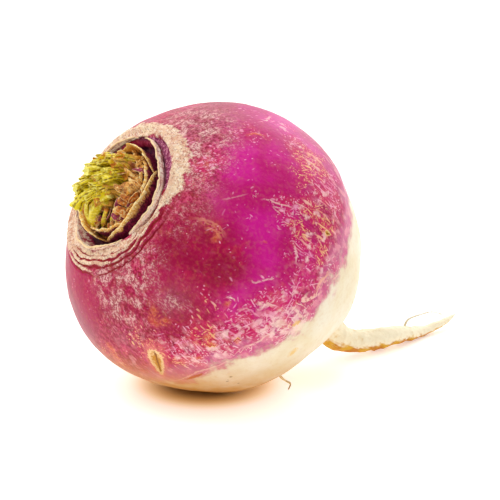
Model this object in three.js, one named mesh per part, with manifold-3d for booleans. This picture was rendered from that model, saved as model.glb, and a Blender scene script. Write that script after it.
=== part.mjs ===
// A purple-top turnip, trimmed of its leaves and lying on its side.
// Millimetres, +Z up. The bulb touches the ground at the origin, on a small flat spot.
// +X runs along the ground from the crown end towards the tip of the taproot.
import * as THREE from "three";
import { ParametricGeometry } from "three/addons/geometries/ParametricGeometry.js";
import { mergeVertices } from "three/addons/utils/BufferGeometryUtils.js";
import Module from "manifold-3d";

// Driving dimensions
const BULB_RADIUS = 42.5; // widest radius of the bulb
const FLAT_DEPTH = 1.1; // how much of the round belly the flat spot takes off
const CROWN_PITCH = 35.5; // degrees that the crown end of the axis points above the ground
const SHOULDER_RADIUS = 23.4; // where the round bulb gives way to the crown
const CROWN_HEIGHT = 36.4; // from the bulb's centre to the middle of the crown
const STALK_COUNT = 16;
const STALK_SPACING = 2.12; // scale of the spiral that the leaf stalks stand on
const STALK_SINK = 0.35; // clearance between a stalk or scale and the crown under it

const AROUND = 60; // facets around the bulb
const STALK_SIDES = 8;
const SCALE_STEPS = 12; // facets along a leaf-base scale
const ROOTLET_SIDES = 6;

const COLOURS = {
  skin: 0xb3295f,
  stalk: 0xb5b83a,
  drySheath: 0xc08a4e,
  paleRim: 0xdcc3a6,
};

const rad = THREE.MathUtils.degToRad;
const { lerp, smoothstep } = THREE.MathUtils;

// ---- Helpers -------------------------------------------------------------------------------

// A closed solid over a grid: at(i, angle) gives the point of ring i at an angle round it. The first
// and last rings are single points.
function ringSolid(rings, sides, at) {
  const surface = (u, v, target) =>
    target.copy(at(Math.round(v * (rings - 1)), 2 * Math.PI * u));
  return new ParametricGeometry(surface, sides, rings - 1);
}

// A deterministic fraction from 0 to 1 for item i; each salt gives another series.
function fraction(i, salt) {
  const x = Math.sin(12.9898 * (i + 1) + 78.233 * salt) * 43758.5453;
  return x - Math.floor(x);
}

// ---- The axis of the plant ----------------------------------------------------------------

const CENTRE = new THREE.Vector3(0, 0, BULB_RADIUS - FLAT_DEPTH);
const TO_CROWN = new THREE.Vector3(-Math.cos(rad(CROWN_PITCH)), 0, Math.sin(rad(CROWN_PITCH)));
const STRAIGHT_LENGTH = 30; // the axis is straight this far from the bulb's centre to the taproot

// Where the middle of the taproot passes. It sags out of the bulb, levels out where it meets the
// ground, and lifts and curls a little at its tip.
const TAPROOT_ROUTE = [
  [36.3, 0, 13.6],
  [42.4, 0, 7.6],
  [48.5, 0.2, 4.8],
  [60, 1, 3.4],
  [67.1, 2, 2.4],
  [72.9, 3, 1.6],
  [80.3, 4.6, 2.4],
  [85.8, 6.5, 3.5],
];

const AXIS = new THREE.CatmullRomCurve3([
  CENTRE,
  CENTRE.clone().addScaledVector(TO_CROWN, -STRAIGHT_LENGTH / 2),
  CENTRE.clone().addScaledVector(TO_CROWN, -STRAIGHT_LENGTH),
  ...TAPROOT_ROUTE.map((place) => new THREE.Vector3(...place)),
]);
const ROOT_END = AXIS.getLength(); // from the bulb's centre to the tip of the taproot

// The axis at a distance from the bulb's centre, which is negative towards the crown.
function axisHeading(distance) {
  return distance <= 0 ? TO_CROWN.clone().negate() : AXIS.getTangentAt(distance / ROOT_END);
}

function axisPoint(distance) {
  if (distance <= 0) return CENTRE.clone().addScaledVector(TO_CROWN, -distance);
  return AXIS.getPointAt(distance / ROOT_END);
}

// A point around the axis: angle 0 is on the upper side and 90 degrees is towards +Y.
function aroundAxis(distance, radius, angle) {
  const heading = axisHeading(distance);
  const upper = heading.clone().cross(new THREE.Vector3(0, 1, 0)).normalize();
  const far = upper.clone().cross(heading);
  return axisPoint(distance)
    .addScaledVector(upper, radius * Math.cos(angle))
    .addScaledVector(far, radius * Math.sin(angle));
}

// ---- The root: crown, bulb and taproot in one piece ---------------------------------------------

// The crown from its middle outwards, as [radius, height above the bulb's centre]: a low dome that
// the stalks stand on, the trench round the cup of old leaf bases, a crest, a furrow and the corky band.
const CROWN_PROFILE = [
  [0, CROWN_HEIGHT],
  [4, 36.3],
  [8, 35.7],
  [11.3, 34.6],
  [13.0, 33.2],
  [14.6, 32.0],
  [15.8, 32.4],
  [16.7, 34.8],
  [17.5, 36.7],
  [18.7, 36.2],
  [19.7, 36.3],
  [20.9, 36.8],
  [22.2, 36.2],
];
// The neck where the bulb runs out into the taproot, and the taproot, as [distance, radius].
const WIDEST = rad(-78); // where round the axis the crown's trench is widest
const NECK_START = rad(154); // angle from the crown at which the bulb stops being round
const TAPROOT_PROFILE = [
  [41.0, 14.0],
  [43.2, 10.2],
  [45.6, 7.4],
  [48.5, 5.5],
  [52, 4.3],
  [56, 3.75],
  [61.5, 3.6],
  [67, 3.4],
  [72, 3.1],
  [76, 2.7],
  [80, 2.3],
  [84, 1.75],
  [88, 1.4],
  [92, 1.2],
  [95.5, 0.95],
  [98.5, 0.55],
  [ROOT_END, 0],
];
const BULB_STEP = rad(6.2);

// Rings of the whole root from crown to tip, as [distance along the axis, radius].
function rootRings() {
  const rings = CROWN_PROFILE.map(([radius, height]) => [-height, radius]);
  const shoulder = Math.asin(SHOULDER_RADIUS / BULB_RADIUS);
  const count = Math.round((NECK_START - shoulder) / BULB_STEP);
  for (let i = 0; i <= count; i++) {
    const angle = lerp(shoulder, NECK_START, i / count);
    rings.push([-BULB_RADIUS * Math.cos(angle), BULB_RADIUS * Math.sin(angle)]);
  }
  return rings.concat(TAPROOT_PROFILE).reverse();
}

// Broad swellings of the bulb: [degrees from the crown, degrees round the axis, spread in degrees,
// height in millimetres].
const SWELLINGS = [
  [118, -20, 30, 0.54],
  [86, 4, 26, 0.23],
  [52, 33, 28, -1.17],
  [39, 125, 24, -0.98],
  [69, 167, 30, 2.07],
  [113, -162, 26, -0.78],
  [142, -119, 26, 0.69],
  [137, -42, 28, -1.1],
  [113, 150, 26, -0.7],
  [152, 176, 26, 0.4],
  [96, 72, 36, 0.5],
];

function direction(fromCrown, roundAxis) {
  return new THREE.Vector3().setFromSphericalCoords(1, rad(fromCrown), rad(roundAxis));
}

function swelling(fromCrown, roundAxis) {
  const here = direction(fromCrown, roundAxis);
  return SWELLINGS.reduce((sum, [t, p, spread, height]) => {
    const away = here.angleTo(direction(t, p)) / rad(spread);
    return sum + height * Math.exp(-away * away);
  }, 0);
}

// The crown isn't quite round, and the rim of its trench is pushed out where the trench is widest.
function crownStretch(radius, angle) {
  const uneven = 0.02 * Math.cos(2 * angle + 0.5) + 0.015 * Math.cos(3 * angle - 1);
  const fromWidest = Math.atan2(Math.sin(angle - WIDEST), Math.cos(angle - WIDEST)) / rad(30);
  const onRim = smoothstep(radius, 14, 16.5) * (1 - smoothstep(radius, 18, 26));
  return 1 + uneven + 0.15 * onRim * Math.exp(-fromWidest * fromWidest);
}

// A ring's point, with the crown's stretch near the crown and the swellings over the bulb.
function rootPoint([distance, radius], angle) {
  const fromCrown = THREE.MathUtils.radToDeg(Math.atan2(radius, -distance));
  const nearCrown = 1 - smoothstep(radius, 20, 27);
  const stretch = distance < 0 ? lerp(1, crownStretch(radius, angle), nearCrown) : 1;
  const bulge = swelling(fromCrown, THREE.MathUtils.radToDeg(angle));
  const onBulb = smoothstep(radius, 3, 20) * (1 - 0.7 * (distance < 0 ? nearCrown : 0));
  const point = aroundAxis(distance, radius * stretch, angle);
  const outwards = point.clone().sub(CENTRE).normalize();
  return point.addScaledVector(outwards, bulge * onBulb);
}

function rootGeometry() {
  const rings = rootRings();
  return ringSolid(rings.length, AROUND, (i, angle) => rootPoint(rings[i], angle));
}

// ---- Side roots, joined to the root -----------------------------------------------------------

// Each side root is a fine tapering thread through points in the row frame.
const SIDE_ROOTS = [
  {
    radius: 0.32,
    points: [
      [65.2, 2.0, 3.5],
      [65.9, 2.2, 5.2],
      [67.2, 2.8, 6.1],
      [71.6, 3.6, 6.6],
      [76.2, 4.4, 6.4],
      [80.2, 5.2, 4.7],
    ],
  },
  {
    radius: 0.34,
    points: [
      [10.6, -19.4, 8.4],
      [11.4, -20.7, 6.3],
      [13.3, -20.4, 4.5],
      [15.2, -19.8, 2.9],
      [14.6, -19.6, 1.2],
    ],
  },
];

function threadGeometry({ radius, points }) {
  const curve = new THREE.CatmullRomCurve3(points.map((p) => new THREE.Vector3(...p)));
  const section = new THREE.Shape();
  section.absarc(0, 0, radius, 0, 2 * Math.PI);
  return new THREE.ExtrudeGeometry(section, {
    curveSegments: ROOTLET_SIDES,
    steps: 4 * points.length,
    extrudePath: curve,
  });
}

// ---- What stands on the crown ---------------------------------------------------------------
// These shapes are in the crown's own frame: z runs out along the axis, x to the upper side and
// y towards +Y, with the origin at the bulb's centre.

// Height of the crown's surface at a distance from its middle.
function crownHeight(radius) {
  const i = CROWN_PROFILE.findIndex(([r]) => r > radius);
  const [r0, z0] = CROWN_PROFILE[i - 1];
  const [r1, z1] = CROWN_PROFILE[i];
  return lerp(z0, z1, (radius - r0) / (r1 - r0));
}

// The stalks droop together: the bundle bends towards the ground side, which is -x, on an arc.
const DROOP_RADIUS = 16;

// Takes a point of the straight bundle to its place in the drooping one.
function droop(x, y, height) {
  const bend = Math.max(height, 0) / DROOP_RADIUS;
  return new THREE.Vector3(
    x * Math.cos(bend) - DROOP_RADIUS * (1 - Math.cos(bend)),
    y,
    x * Math.sin(bend) + DROOP_RADIUS * Math.sin(bend) + Math.min(height, 0),
  );
}

const BUNDLE_OFFSET = [0.8, 1.4]; // the bundle stands a little to the upper and far side
const STALK_RINGS = 7;

// Where stalk i stands and how long it is. The stalks follow the golden angle, as leaves do, and
// the longest are those just below the middle.
function stalkPlan(i) {
  const turn = i * Math.PI * (3 - Math.sqrt(5));
  const out = STALK_SPACING * Math.sqrt(i + 0.5);
  const x = BUNDLE_OFFSET[0] + out * Math.cos(turn);
  const y = BUNDLE_OFFSET[1] + out * Math.sin(turn);
  const middle = Math.exp(-(((x + 1.5) / 5.5) ** 2) - ((y - 1) / 8) ** 2);
  const length = 7.5 + 9.5 * middle + 2.5 * (fraction(i, 1) - 0.5);
  return { x, y, length, radius: 1.45 + 0.2 * fraction(i, 2), slant: 0.9 * (fraction(i, 3) - 0.5) };
}

function stalkGeometry(i) {
  const { x, y, length, radius, slant } = stalkPlan(i);
  const foot = crownHeight(Math.hypot(x, y)) - CROWN_HEIGHT;
  const start = foot + 0.9;
  return ringSolid(STALK_RINGS + 2, STALK_SIDES, (ring, angle) => {
    const along = THREE.MathUtils.clamp((ring - 1) / (STALK_RINGS - 1), 0, 1);
    const closed = ring === 0 || ring === STALK_RINGS + 1;
    const reach = closed ? 0 : radius * (1 - 0.12 * along);
    const height = lerp(start, length, along) + slant * along * reach * Math.cos(angle);
    const point = droop(x + reach * Math.cos(angle), y + reach * Math.sin(angle), height);
    point.z += CROWN_HEIGHT;
    return point;
  });
}

// Old leaf bases: low curved walls round the stalks. Each runs from one angle to another, at a
// radius and up to a height above the bulb's centre.
const LEAF_BASES = {
  outer_leaf_base_1: { radius: 14.3, from: -160, to: -38, top: 39.4 },
  outer_leaf_base_2: { radius: 14.3, from: -30, to: 82, top: 39.8 },
  outer_leaf_base_3: { radius: 14.3, from: 90, to: 192, top: 39.2 },
  middle_leaf_base_1: { radius: 12.6, from: -208, to: -108, top: 40.0 },
  middle_leaf_base_2: { radius: 12.6, from: -98, to: 8, top: 40.6 },
  middle_leaf_base_3: { radius: 12.6, from: 18, to: 142, top: 40.4 },
  inner_leaf_base_1: { radius: 10.9, from: -150, to: -92, top: 39.4 },
  inner_leaf_base_2: { radius: 10.9, from: -84, to: -22, top: 40.2 },
  torn_rim_1: { radius: 17.4, from: -118, to: 12, top: 38.9 },
  torn_rim_2: { radius: 17.4, from: -214, to: -126, top: 38.6 },
  torn_rim_3: { radius: 17.4, from: 22, to: 136, top: 38.4 },
};
const WALL_THICKNESS = 1.1;
const WALL_SIDES = 6;
const WALL_FLARE = 0.12; // how far a wall leans out for each millimetre of its height

// A wall is a thin upright lens carried round an arc, running out to a point at both ends.
function wallGeometry({ radius, from, to, top }) {
  return ringSolid(SCALE_STEPS + 1, WALL_SIDES, (ring, sectionAngle) => {
    const along = ring / SCALE_STEPS;
    const angle = rad(lerp(from, to, along));
    const fullness = Math.sqrt(Math.sin(Math.PI * along));
    const foot = crownHeight(radius) + STALK_SINK;
    const half = ((top - foot) / 2) * fullness;
    const above = half * (1 + Math.cos(sectionAngle));
    const thick = (WALL_THICKNESS / 2) * fullness * Math.sin(sectionAngle);
    const out = (radius + thick) * crownStretch(radius, angle) + WALL_FLARE * above;
    return new THREE.Vector3(out * Math.cos(angle), out * Math.sin(angle), foot + above);
  });
}

// ---- Joining solids ----------------------------------------------------------------------------

const wasm = await Module();
wasm.setup();

function toSolid(geometry) {
  const bare = geometry.clone();
  bare.deleteAttribute("normal");
  bare.deleteAttribute("uv");
  const merged = mergeVertices(bare, 1e-3);
  return new wasm.Manifold(
    new wasm.Mesh({
      numProp: 3,
      vertProperties: new Float32Array(merged.attributes.position.array),
      triVerts: new Uint32Array(merged.index.array),
    }),
  );
}

function toGeometry(solid) {
  const mesh = solid.getMesh();
  const geometry = new THREE.BufferGeometry();
  geometry.setAttribute("position", new THREE.BufferAttribute(mesh.vertProperties, 3));
  geometry.setIndex(new THREE.BufferAttribute(mesh.triVerts, 1));
  geometry.computeVertexNormals();
  return geometry;
}

// ---- The turnip ----------------------------------------------------------------------------------

const turnip = new THREE.Group();
const crown = new THREE.Group();
crown.position.copy(CENTRE);
crown.rotation.y = -rad(90 - CROWN_PITCH);
turnip.add(crown);

function addPiece(group, name, geometry, colour, roughness) {
  const material = new THREE.MeshStandardMaterial({ color: colour, roughness, metalness: 0 });
  const mesh = new THREE.Mesh(geometry, material);
  mesh.name = name;
  group.add(mesh);
}

let root = toSolid(rootGeometry());
for (const thread of SIDE_ROOTS) root = root.add(toSolid(threadGeometry(thread)));
root = root.trimByPlane([0, 0, 1], 0); // the flat spot
addPiece(turnip, "turnip_root", toGeometry(root), COLOURS.skin, 0.4);

for (let i = 0; i < STALK_COUNT; i++) {
  const number = String(i + 1).padStart(2, "0");
  addPiece(crown, `leaf_stalk_${number}`, stalkGeometry(i), COLOURS.stalk, 0.5);
}
for (const [name, plan] of Object.entries(LEAF_BASES)) {
  const colour = name.startsWith("torn") ? COLOURS.paleRim : COLOURS.drySheath;
  addPiece(crown, name, wallGeometry(plan), colour, 0.8);
}

export default turnip;
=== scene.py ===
# %% [markdown]
# # Dressing a turnip
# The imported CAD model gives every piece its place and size. This lesson replaces its plain solids
# with finely shaped ones and gives each a finish made only of Blender's own nodes. The frame is
# loaded first, because every later piece takes its place from it.

# %% Load the frame
from itertools import product

import bpy
import numpy as np
from mathutils import Matrix, Vector


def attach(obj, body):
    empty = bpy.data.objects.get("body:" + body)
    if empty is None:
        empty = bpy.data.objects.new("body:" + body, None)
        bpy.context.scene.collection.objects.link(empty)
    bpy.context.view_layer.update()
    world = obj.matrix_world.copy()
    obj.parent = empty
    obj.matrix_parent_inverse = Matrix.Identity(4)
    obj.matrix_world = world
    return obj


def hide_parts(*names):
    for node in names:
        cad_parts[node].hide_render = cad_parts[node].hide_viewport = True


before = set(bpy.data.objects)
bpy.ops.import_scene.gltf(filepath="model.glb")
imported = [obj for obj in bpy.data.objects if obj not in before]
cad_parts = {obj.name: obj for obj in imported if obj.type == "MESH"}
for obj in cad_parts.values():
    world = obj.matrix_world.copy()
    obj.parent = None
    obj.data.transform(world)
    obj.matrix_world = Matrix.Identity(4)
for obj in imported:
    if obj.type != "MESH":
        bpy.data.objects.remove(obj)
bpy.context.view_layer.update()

# %% [markdown]
# ## Helpers for surfaces
# A grown thing has no straight edges, so every surface here is worked out point by point with numpy:
# rows of points along the piece, and columns round it. All lengths are in millimetres until the
# points go into a mesh. The same helper turns any such grid into a closed mesh, with a pole at each
# end, and stores extra numbers on its vertices for the finishes to read.

# %% Grids of points into meshes
MM = 0.001


def grid_piece(name, grid, attributes=None):
    """A closed mesh over a grid of points, rows by columns, in millimetres. Columns run round and join
    up; the first and last rows are single points. Faces look outwards when the rows go up and the
    columns go anticlockwise seen from above."""
    rows, columns, _ = grid.shape
    inner = grid[1:-1].reshape(-1, 3)
    points = np.vstack([grid[0, :1], inner, grid[-1, :1]]) * MM
    ring = 1 + np.arange((rows - 2) * columns).reshape(rows - 2, columns)
    after = np.roll(ring, -1, axis=1)
    quads = np.stack([ring[:-1], after[:-1], after[1:], ring[1:]], axis=-1).reshape(-1, 4)
    start = np.zeros(columns, int)
    end = np.full(columns, len(points) - 1)
    fans = np.vstack([np.stack([start, after[0], ring[0]], axis=-1),
                      np.stack([ring[-1], after[-1], end], axis=-1)])
    mesh = bpy.data.meshes.new(name)
    mesh.from_pydata(points.tolist(), [], quads.tolist() + fans.tolist())
    mesh.shade_smooth()
    for key, values in (attributes or {}).items():
        vector = values.ndim == 3
        flat = np.concatenate([values[0, :1], values[1:-1].reshape(-1, *values.shape[2:]),
                               values[-1, :1]])
        stored = mesh.attributes.new(key, "FLOAT_VECTOR" if vector else "FLOAT", "POINT")
        stored.data.foreach_set("vector" if vector else "value", flat.astype(np.float32).ravel())
    piece = bpy.data.objects.new(name, mesh)
    bpy.context.scene.collection.objects.link(piece)
    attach(piece, "root")
    return piece


def normals(grid):
    """Outward unit normals of a grid: the cross product of its slopes round and along."""
    round_it = np.roll(grid, -1, axis=1) - np.roll(grid, 1, axis=1)
    along = np.gradient(grid, axis=0)
    n = np.cross(round_it, along)
    return n / np.maximum(np.linalg.norm(n, axis=-1, keepdims=True), 1e-9)


# %% [markdown]
# ## Natural unevenness
# Nothing that grew is even. One noise function feeds all the shapes: it gives every corner of a
# cubic lattice its own height and blends between corners. Noise added at several sizes looks like
# growth, where a single size looks like hammered metal. Nothing is drawn from a random generator, so
# every run gives the same turnip.

# %% Smooth random heights
STIRRING = 43758.5453
CORNER_STEPS = np.array([127.1, 311.7, 74.7])


def unevenness(points, size, seed=0):
    """Smooth heights from -1 to 1 with bumps of a size in the points' own unit: the random heights
    of the eight lattice corners round each point, blended with eased weights. A corner's height is
    what is left of a large multiple of a sine once its whole part is taken off."""
    place = points / size + 37.7 * seed
    cell = np.floor(place)
    within = place - cell
    eased = within * within * (3 - 2 * within)
    total = np.zeros(points.shape[:-1])
    for corner in product((0, 1), repeat=3):
        key = (cell + corner) @ CORNER_STEPS + 19.19 * seed
        height = np.modf(np.abs(np.sin(key) * STIRRING))[0] * 2 - 1
        weight = np.prod(np.where(corner, eased, 1 - eased), axis=-1)
        total += height * weight
    return total


def layered(points, size, seed=0, layers=3):
    """Unevenness at a size, plus half as much at half the size, and so on."""
    return sum(unevenness(points, size / 2**i, seed + i) / 2**i for i in range(layers))


def step(value, low, high):
    """0 below low and 1 above high, easing between them."""
    t = np.clip((value - low) / (high - low), 0, 1)
    return t * t * (3 - 2 * t)


probes = np.array([[3.0, 2, 0], [3, 2, 5], [3, 2, 10]])
print("unevenness with 10 mm bumps at three points 5 mm apart:", unevenness(probes, 10).round(2))

# %% [markdown]
# ## The plant's axis
# The turnip lies on its side. Its axis runs straight from the crown through the bulb, and then the
# taproot follows a curve down to the ground. The values of the CAD source are repeated here, because
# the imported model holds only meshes. Only the first stops of the taproot differ: it leaves the bulb
# one or two millimetres lower than in the solid.

# %% The axis, the crown's frame and the taproot's route
BULB_RADIUS = 42.5
FLAT_DEPTH = 1.1
CENTRE = np.array([0, 0, BULB_RADIUS - FLAT_DEPTH])
PITCH = np.radians(35.5)
TO_CROWN = np.array([-np.cos(PITCH), 0, np.sin(PITCH)])
UPPER = np.array([np.sin(PITCH), 0, np.cos(PITCH)])
FAR = np.array([0, 1, 0])
CROWN_HEIGHT = 36.4
STRAIGHT_LENGTH = 30
TAPROOT_ROUTE = [[36.0, -0.3, 12.4], [41.6, -0.9, 6.2], [48.5, -1.0, 4.1], [60, 0, 3.2], [67.1, 1.5, 2.3],
                 [72.9, 3, 1.6], [80.3, 4.6, 2.4], [85.8, 6.5, 3.5]]


def curve_through(stops, per_span=60):
    """A smooth curve through points: a centripetal Catmull-Rom spline, whose knots are spaced by the
    square root of the distance between points."""
    p = np.array(stops, float)
    p = np.vstack([2 * p[0] - p[1], p, 2 * p[-1] - p[-2]])
    t = np.concatenate([[0], np.cumsum(np.sqrt(np.linalg.norm(np.diff(p, axis=0), axis=1)))])
    pieces = []
    for i in range(1, len(p) - 2):
        s = np.linspace(t[i], t[i + 1], per_span, endpoint=i == len(p) - 3)[:, None]

        def blend(a, b, ta, tb):
            return ((tb - s) * a + (s - ta) * b) / (tb - ta)

        a1, a2, a3 = (blend(p[i + k - 1], p[i + k], t[i + k - 1], t[i + k]) for k in range(3))
        b1 = blend(a1, a2, t[i - 1], t[i + 1])
        b2 = blend(a2, a3, t[i], t[i + 2])
        pieces.append(blend(b1, b2, t[i], t[i + 1]))
    return np.vstack(pieces)


AXIS = curve_through([CENTRE, CENTRE - STRAIGHT_LENGTH / 2 * TO_CROWN,
                      CENTRE - STRAIGHT_LENGTH * TO_CROWN, *TAPROOT_ROUTE])
ALONG = np.concatenate([[0], np.cumsum(np.linalg.norm(np.diff(AXIS, axis=0), axis=1))])
HEADING = np.gradient(AXIS, axis=0) / np.linalg.norm(np.gradient(AXIS, axis=0), axis=1)[:, None]
ROOT_END = ALONG[-1]
print("axis from the bulb's centre to the tip of the taproot:", round(ROOT_END, 1), "mm")


def along_axis(distance, table):
    """Rows of a table kept along the axis, read at distances from the bulb's centre."""
    return np.stack([np.interp(distance, ALONG, table[:, k]) for k in range(3)], axis=-1)


def around_axis(distance, radius, angle):
    """Points round the axis: angle 0 is on the upper side and 90 degrees is towards +Y."""
    heading = along_axis(distance, HEADING)
    heading /= np.linalg.norm(heading, axis=-1, keepdims=True)
    upper = np.cross(heading, FAR)
    upper /= np.linalg.norm(upper, axis=-1, keepdims=True)
    far = np.cross(upper, heading)
    middle = along_axis(distance, AXIS) + np.minimum(distance, 0)[..., None] * -TO_CROWN
    return (middle + (radius * np.cos(angle))[..., None] * upper
            + (radius * np.sin(angle))[..., None] * far)


def in_crown_frame(points):
    """Points as the crown sees them: x to the upper side, y towards +Y, z out along the axis."""
    return (points - CENTRE) @ np.stack([UPPER, FAR, TO_CROWN], axis=1)


def from_crown_frame(points):
    """The way back: each point's x, y and z are carried along the crown's own three directions."""
    return points @ np.stack([UPPER, FAR, TO_CROWN]) + CENTRE


# %% [markdown]
# ## The root's shape
# The root is a pile of rings along the axis: crown, bulb, neck and taproot. Each ring is pushed
# about by a few broad swellings, so that the bulb isn't a ball, and the crown's rings are stretched
# where the trench round the stalks is widest. The rings lie closest together on the crown, where the
# shape turns most sharply. The neck is drawn a little tighter than in the solid.

# %% Rings of the root
CROWN_PROFILE = [[0, CROWN_HEIGHT], [4, 36.3], [8, 35.7], [11.3, 34.6], [13.0, 33.2], [14.6, 32.0],
                 [15.8, 32.4], [16.7, 34.8], [17.5, 36.7], [18.7, 36.2], [19.7, 36.3], [20.9, 36.8],
                 [22.2, 36.2]]
TAPROOT_PROFILE = [[41.0, 12.4], [42.3, 8.8], [43.7, 6.6], [46.2, 5.3], [50.5, 4.5], [55, 3.9],
                   [61.5, 3.65], [67, 3.4], [72, 3.1], [76, 2.7], [80, 2.3], [84, 1.75], [88, 1.4],
                   [92, 1.2], [95.5, 0.95], [98.5, 0.55], [ROOT_END, 0]]
SHOULDER_RADIUS = 23.4
SHOULDER, NECK = np.arcsin(SHOULDER_RADIUS / BULB_RADIUS), np.radians(154)
COLUMNS = 288
# distance along the axis from the bulb's centre: distance between rings there
RING_SPACING = {-36: 0.36, -31: 0.42, -24: 0.72, 35: 0.8, 50: 0.6, 100: 0.5}
FINE_STEP, WINDOW = 0.05, 25


def root_rings():
    """[distance along the axis, radius] of every ring. The profile's points are joined by straight
    lines and an arc, cut into fine steps and softened by a rolling average as wide as the window.
    Rings are then picked from it at the spacing wanted at each place."""
    arc = np.linspace(SHOULDER, NECK, 60)
    bulb = BULB_RADIUS * np.stack([-np.cos(arc), np.sin(arc)], axis=1)
    crown = np.array([[-height, radius] for radius, height in CROWN_PROFILE])
    line = np.vstack([crown, bulb, TAPROOT_PROFILE])
    run = np.concatenate([[0], np.cumsum(np.linalg.norm(np.diff(line, axis=0), axis=1))])
    fine = np.arange(0, run[-1], FINE_STEP)
    drawn = np.stack([np.interp(fine, run, line[:, k]) for k in (0, 1)], axis=1)
    weights = np.hanning(WINDOW) / np.hanning(WINDOW).sum()
    padded = np.vstack([drawn[:1]] * (WINDOW // 2) + [drawn] + [drawn[-1:]] * (WINDOW // 2))
    soft = np.stack([np.convolve(padded[:, k], weights, "valid") for k in (0, 1)], axis=1)
    soft[0], soft[-1] = line[0], line[-1]
    spacing = np.interp(soft[:, 0], list(RING_SPACING), list(RING_SPACING.values()))
    place = np.cumsum(FINE_STEP / spacing)
    wanted = np.arange(0, place[-1])
    return np.stack([np.interp(wanted, place, soft[:, k]) for k in (0, 1)], axis=1)[::-1]


RINGS = root_rings()
RINGS[0], RINGS[-1] = [ROOT_END, 0], [-CROWN_HEIGHT, 0]
print(len(RINGS), "rings of", COLUMNS, "points:", 2 * len(RINGS) * COLUMNS, "triangles")

# %% [markdown]
# Swellings are broad humps and hollows, each at a place on the bulb given by two angles: degrees
# from the crown, and degrees round the axis. The last one, beside the taproot, is new, and the
# others are the CAD source's. The crown isn't round either: its rim is pushed out where the trench
# is widest, on the near side.

# %% Swellings and the crown's stretch
# [degrees from the crown, degrees round the axis, spread in degrees, height in mm]
SWELLINGS = [[118, -20, 30, 0.54], [86, 4, 26, 0.23], [52, 33, 28, -1.17], [39, 125, 24, -0.98],
             [69, 167, 30, 2.07], [113, -162, 26, -0.78], [142, -119, 26, 0.69],
             [137, -42, 28, -1.1], [113, 150, 26, -0.7], [152, 176, 26, 0.4], [96, 72, 36, 0.5],
             [143, -78, 14, 1.3]]
WIDEST, WIDENING, WIDENING_SPREAD = np.radians(-78), 0.15, np.radians(30)


def pointing(from_crown, round_axis):
    """Unit vectors in the crown's frame from two angles in degrees."""
    t, p = np.radians(from_crown), np.radians(round_axis)
    return np.stack([np.sin(t) * np.cos(p), np.sin(t) * np.sin(p), np.cos(t)], axis=-1)


def swelling(direction):
    """The sum of the humps: each falls off as a bell with the angle from its own place."""
    total = np.zeros(direction.shape[:-1])
    for from_crown, round_axis, spread, height in SWELLINGS:
        away = np.degrees(np.arccos(np.clip(direction @ pointing(from_crown, round_axis), -1, 1)))
        total += height * np.exp(-(away / spread) ** 2)
    return total


def widening(angle):
    """The share by which the trench is wider than round: a bell over the angle round the axis."""
    from_widest = np.arctan2(np.sin(angle - WIDEST), np.cos(angle - WIDEST)) / WIDENING_SPREAD
    return WIDENING * np.exp(-from_widest**2)


def crown_stretch(radius, angle):
    """How far from round the crown is: two slow waves, and the widening of its rim."""
    uneven = 0.02 * np.cos(2 * angle + 0.5) + 0.015 * np.cos(3 * angle - 1)
    on_rim = step(radius, 14, 16.5) * (1 - step(radius, 18, 26))
    return 1 + uneven + on_rim * widening(angle)


def smooth_root():
    """The root without its fine relief: ring points, stretched at the crown, swollen on the bulb."""
    distance, radius = (RINGS[:, k][:, None] * np.ones(COLUMNS) for k in (0, 1))
    angle = np.linspace(0, 2 * np.pi, COLUMNS, endpoint=False) * np.ones((len(RINGS), 1))
    near_crown = (distance < 0) * (1 - step(radius, 20, 27))
    stretch = 1 + near_crown * (crown_stretch(radius, angle) - 1)
    direction = pointing(np.degrees(np.arctan2(radius, -distance)), np.degrees(angle))
    hump = swelling(direction) * step(radius, 3, 20) * (1 - 0.7 * near_crown)
    points = around_axis(distance, radius * stretch, angle)
    outward = points - CENTRE
    outward /= np.linalg.norm(outward, axis=-1, keepdims=True)
    return points + outward * hump[..., None], distance, angle


ROOT, ROOT_DISTANCE, ROOT_ANGLE = smooth_root()
print("smooth root in mm: from", ROOT.min((0, 1)).round(1), "to", ROOT.max((0, 1)).round(1))

# %% [markdown]
# ## Relief
# The fine shapes are heights added along the surface's own normal: the corky band round the crown
# and its concentric wrinkles, the sunken crescent beside the trench, scars, and the rings of the
# taproot. Each needs to know where it is, so the crown's own coordinates come first: how far a
# point is from the axis, its angle round the axis, and its angle from the crown.

# %% Where every point of the root is
IN_CROWN = in_crown_frame(ROOT)
OUT = np.hypot(IN_CROWN[..., 0], IN_CROWN[..., 1])
ROUND = np.degrees(np.arctan2(IN_CROWN[..., 1], IN_CROWN[..., 0]))
FROM_CROWN = np.degrees(np.arctan2(OUT, IN_CROWN[..., 2]))
DIRECTION = pointing(FROM_CROWN, ROUND)
CROWN_END = step(IN_CROWN[..., 2], 20, 28)
TAPROOT = step(ROOT_DISTANCE, 40, 50)


def by_angle(round_axis, keys):
    """A value read from {degrees round the axis: value}, blending between the keys."""
    place = np.array(sorted(keys))
    return np.interp(round_axis, place, np.array([keys[p] for p in place]), period=360)


def inside(value, low, high, soft):
    """1 between two limits and 0 outside them, easing over a soft width."""
    return step(value - low, -soft, soft) * step(high - value, -soft, soft)


print("points on the crown's end:", int((CROWN_END > 0.5).sum()), "on the taproot:",
      int((TAPROOT > 0.5).sum()))

# %% [markdown]
# The corky band is dry, pale and pitted. Its two edges are radii given at some angles round the axis.
# It lies furthest out on the upper near side, where the crescent of sunken skin parts it from the
# trench. Underneath, the skin has shrunk into concentric wrinkles: their crests are corky, and the
# grooves between them are red.

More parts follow.
